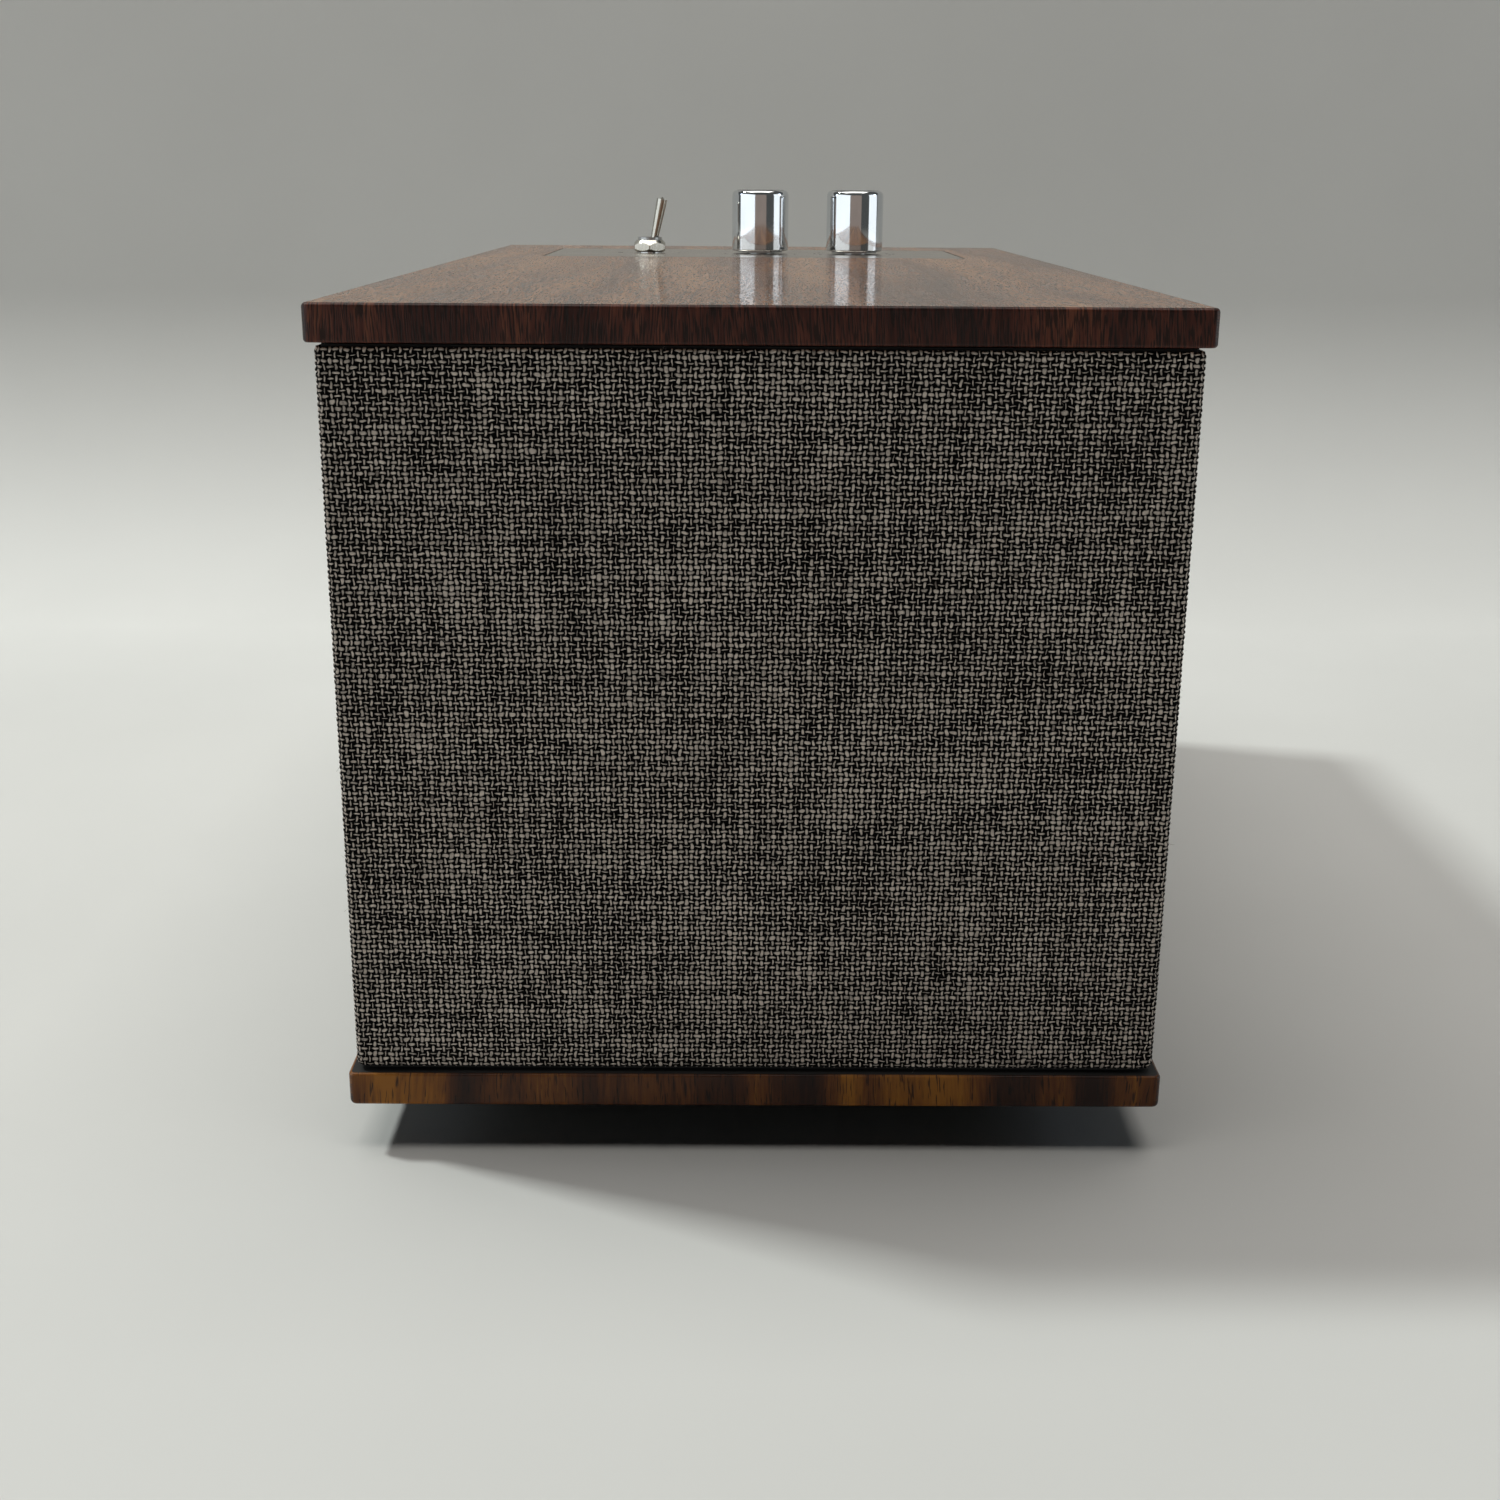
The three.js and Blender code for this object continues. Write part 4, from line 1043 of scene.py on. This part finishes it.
# ---------------------------------------------------------------- stage

def sweep():
    """A pale paper sweep: flat under the radio, curving up behind it."""
    paper, tree, bsdf, spot = start("pale_sweep_paper", Roughness=0.75)
    cloud = add(tree, "ShaderNodeTexNoise", {"Vector": spot, "Scale": 7.0, "Detail": 3.0})
    tone = stops(add(tree, "ShaderNodeValToRGB", {"Fac": cloud.outputs["Fac"]}),
                 (0.3, "#d3d3d1"), (0.7, "#d8d8d6"))
    tree.links.new(tone.outputs["Color"], bsdf.inputs["Base Color"])
    path = [(-3.0, 0.0), (0.26, 0.0)]
    radius, steepest = 0.14, 80
    for k in range(1, 25):
        angle = math.radians(steepest * k / 24)
        path.append((0.26 + radius * math.sin(angle), radius - radius * math.cos(angle)))
    x, z = path[-1]
    path.append((x + 0.5 / math.tan(math.radians(steepest)), z + 0.5))
    vertices = [(x, y, z) for x, z in path for y in (-3.0, 3.0)]
    faces = [(2 * k, 2 * k + 2, 2 * k + 3, 2 * k + 1) for k in range(len(path) - 1)]
    mesh = bpy.data.meshes.new("sweep")
    mesh.from_pydata(vertices, [], faces)
    mesh.polygons.foreach_set("use_smooth", [True] * len(faces))
    mesh.materials.append(paper)
    floor = bpy.data.objects.new("sweep", mesh)
    bpy.context.scene.collection.objects.link(floor)


def softbox(name, spot, target, width, height, power, colour, mirrored_only=False):
    """A rectangular lamp aimed at a point. A card that is mirrored only casts no light on
    matt surfaces."""
    lamp = bpy.data.lights.new(name, "AREA")
    lamp.shape = "RECTANGLE"
    lamp.size = width
    lamp.size_y = height
    lamp.energy = power
    lamp.color = linear(colour)[:3]
    holder = bpy.data.objects.new(name, lamp)
    aim = (Vector(target) - Vector(spot)).to_track_quat("-Z", "Y")
    holder.matrix_world = Matrix.Translation(spot) @ aim.to_matrix().to_4x4()
    holder.visible_camera = False
    holder.visible_diffuse = not mirrored_only
    bpy.context.scene.collection.objects.link(holder)


def card(name, near, far, distance, height, power, colour):
    """A standing card that the chrome mirrors, between two bearings in degrees round the knobs,
    counted from the left end of the radio towards its rear."""
    ends = [Vector((CONTROL_X * MM - distance * math.cos(math.radians(a)),
                    distance * math.sin(math.radians(a)), 0)) for a in (near, far)]
    middle = (ends[0] + ends[1]) / 2 + Vector((0, 0, height / 2 + 0.01))
    softbox(name, middle, (CONTROL_X * MM, 0, middle.z), (ends[1] - ends[0]).length, height,
            power, colour, mirrored_only=True)


def lights():
    """A key from behind on the left, a broad panel overhead, weak windows at the sides, and three
    standing cards that the chrome mirrors: pale left and right, warm brown between them."""
    softbox("key_softbox", (0.74, 2.1, 3.0), (0, 0, 0.08), 0.34, 0.34, 70, "#f9fffb")
    softbox("overhead_softbox", (0.05, 0.1, 2.2), (0.05, 0.1, 0), 1.5, 2.2, 31, "#fffcf6")
    softbox("left_window", (0.0, 1.9, 0.8), (0, 0, 0.1), 0.3, 0.5, 1.1, "#dcecff")
    softbox("right_window", (0.0, -1.9, 0.8), (0, 0, 0.1), 0.3, 0.5, 1.6, "#dcecff")
    card("left_card", 22, 88, 1.7, 0.8, 6.2, "#f4fbff")
    card("right_card", -96, -57, 1.6, 0.8, 3.4, "#f4fbff")
    card("front_card", -24, 21, 1.75, 0.8, 1.05, "#d8bcac")
    world = bpy.data.worlds.new("studio")
    world.use_nodes = True
    background = world.node_tree.nodes["Background"]
    background.inputs["Color"].default_value = linear("#dde2e1")
    background.inputs["Strength"].default_value = 0.11
    world.cycles_visibility.diffuse = False
    bpy.context.scene.world = world
    bpy.context.scene.view_settings.view_transform = "Standard"


def camera():
    """Stands a little above the top slab and looks along the length, down by 17 degrees."""
    pitch, yaw, roll = (math.radians(a) for a in (17.06, -0.344, 0.397))
    ahead = Vector((math.cos(pitch) * math.cos(yaw), math.cos(pitch) * math.sin(yaw), -math.sin(pitch)))
    right = Vector((math.sin(yaw), -math.cos(yaw), 0))
    up = right.cross(ahead)
    side = right * math.cos(roll) + up * math.sin(roll)
    above = up * math.cos(roll) - right * math.sin(roll)
    lens = bpy.data.cameras.new("camera")
    lens.sensor_width = 36
    lens.lens = 44.5
    lens.clip_start = 0.01
    eye = bpy.data.objects.new("camera", lens)
    turn = Matrix((side, above, -ahead)).transposed().to_4x4()
    eye.matrix_world = Matrix.Translation((-0.4208, 0.0030, 0.1615)) @ turn
    bpy.context.scene.collection.objects.link(eye)
    bpy.context.scene.camera = eye


camera()
lights()
sweep()
top_slab()
bottom_slab()
cloth_sleeve()
control_plate()
knob("volume_knob_turned", VOLUME_Y, "volume_spindle", "volume_knob")
knob("tuning_knob_turned", TUNING_Y, "tuning_spindle", "tuning_knob")
toggle()
printed_marks()
connector_cup()
cup_screw = cross_headed_screw("cup_screw", 2.5, 0.4, 1.3, 9.9, ZINC)
set_of_screws(
    "cup_screws", cup_screw,
    [(x, CUP_FACE_Y + 0.3, CUP_Z + z) for z in (19.8, -19.8) for x in (39.8, -39.8)], True,
    ["cup_screw_upper_left", "cup_screw_upper_right", "cup_screw_lower_left", "cup_screw_lower_right"])
sockets()
feet()
finish_kept_solids()
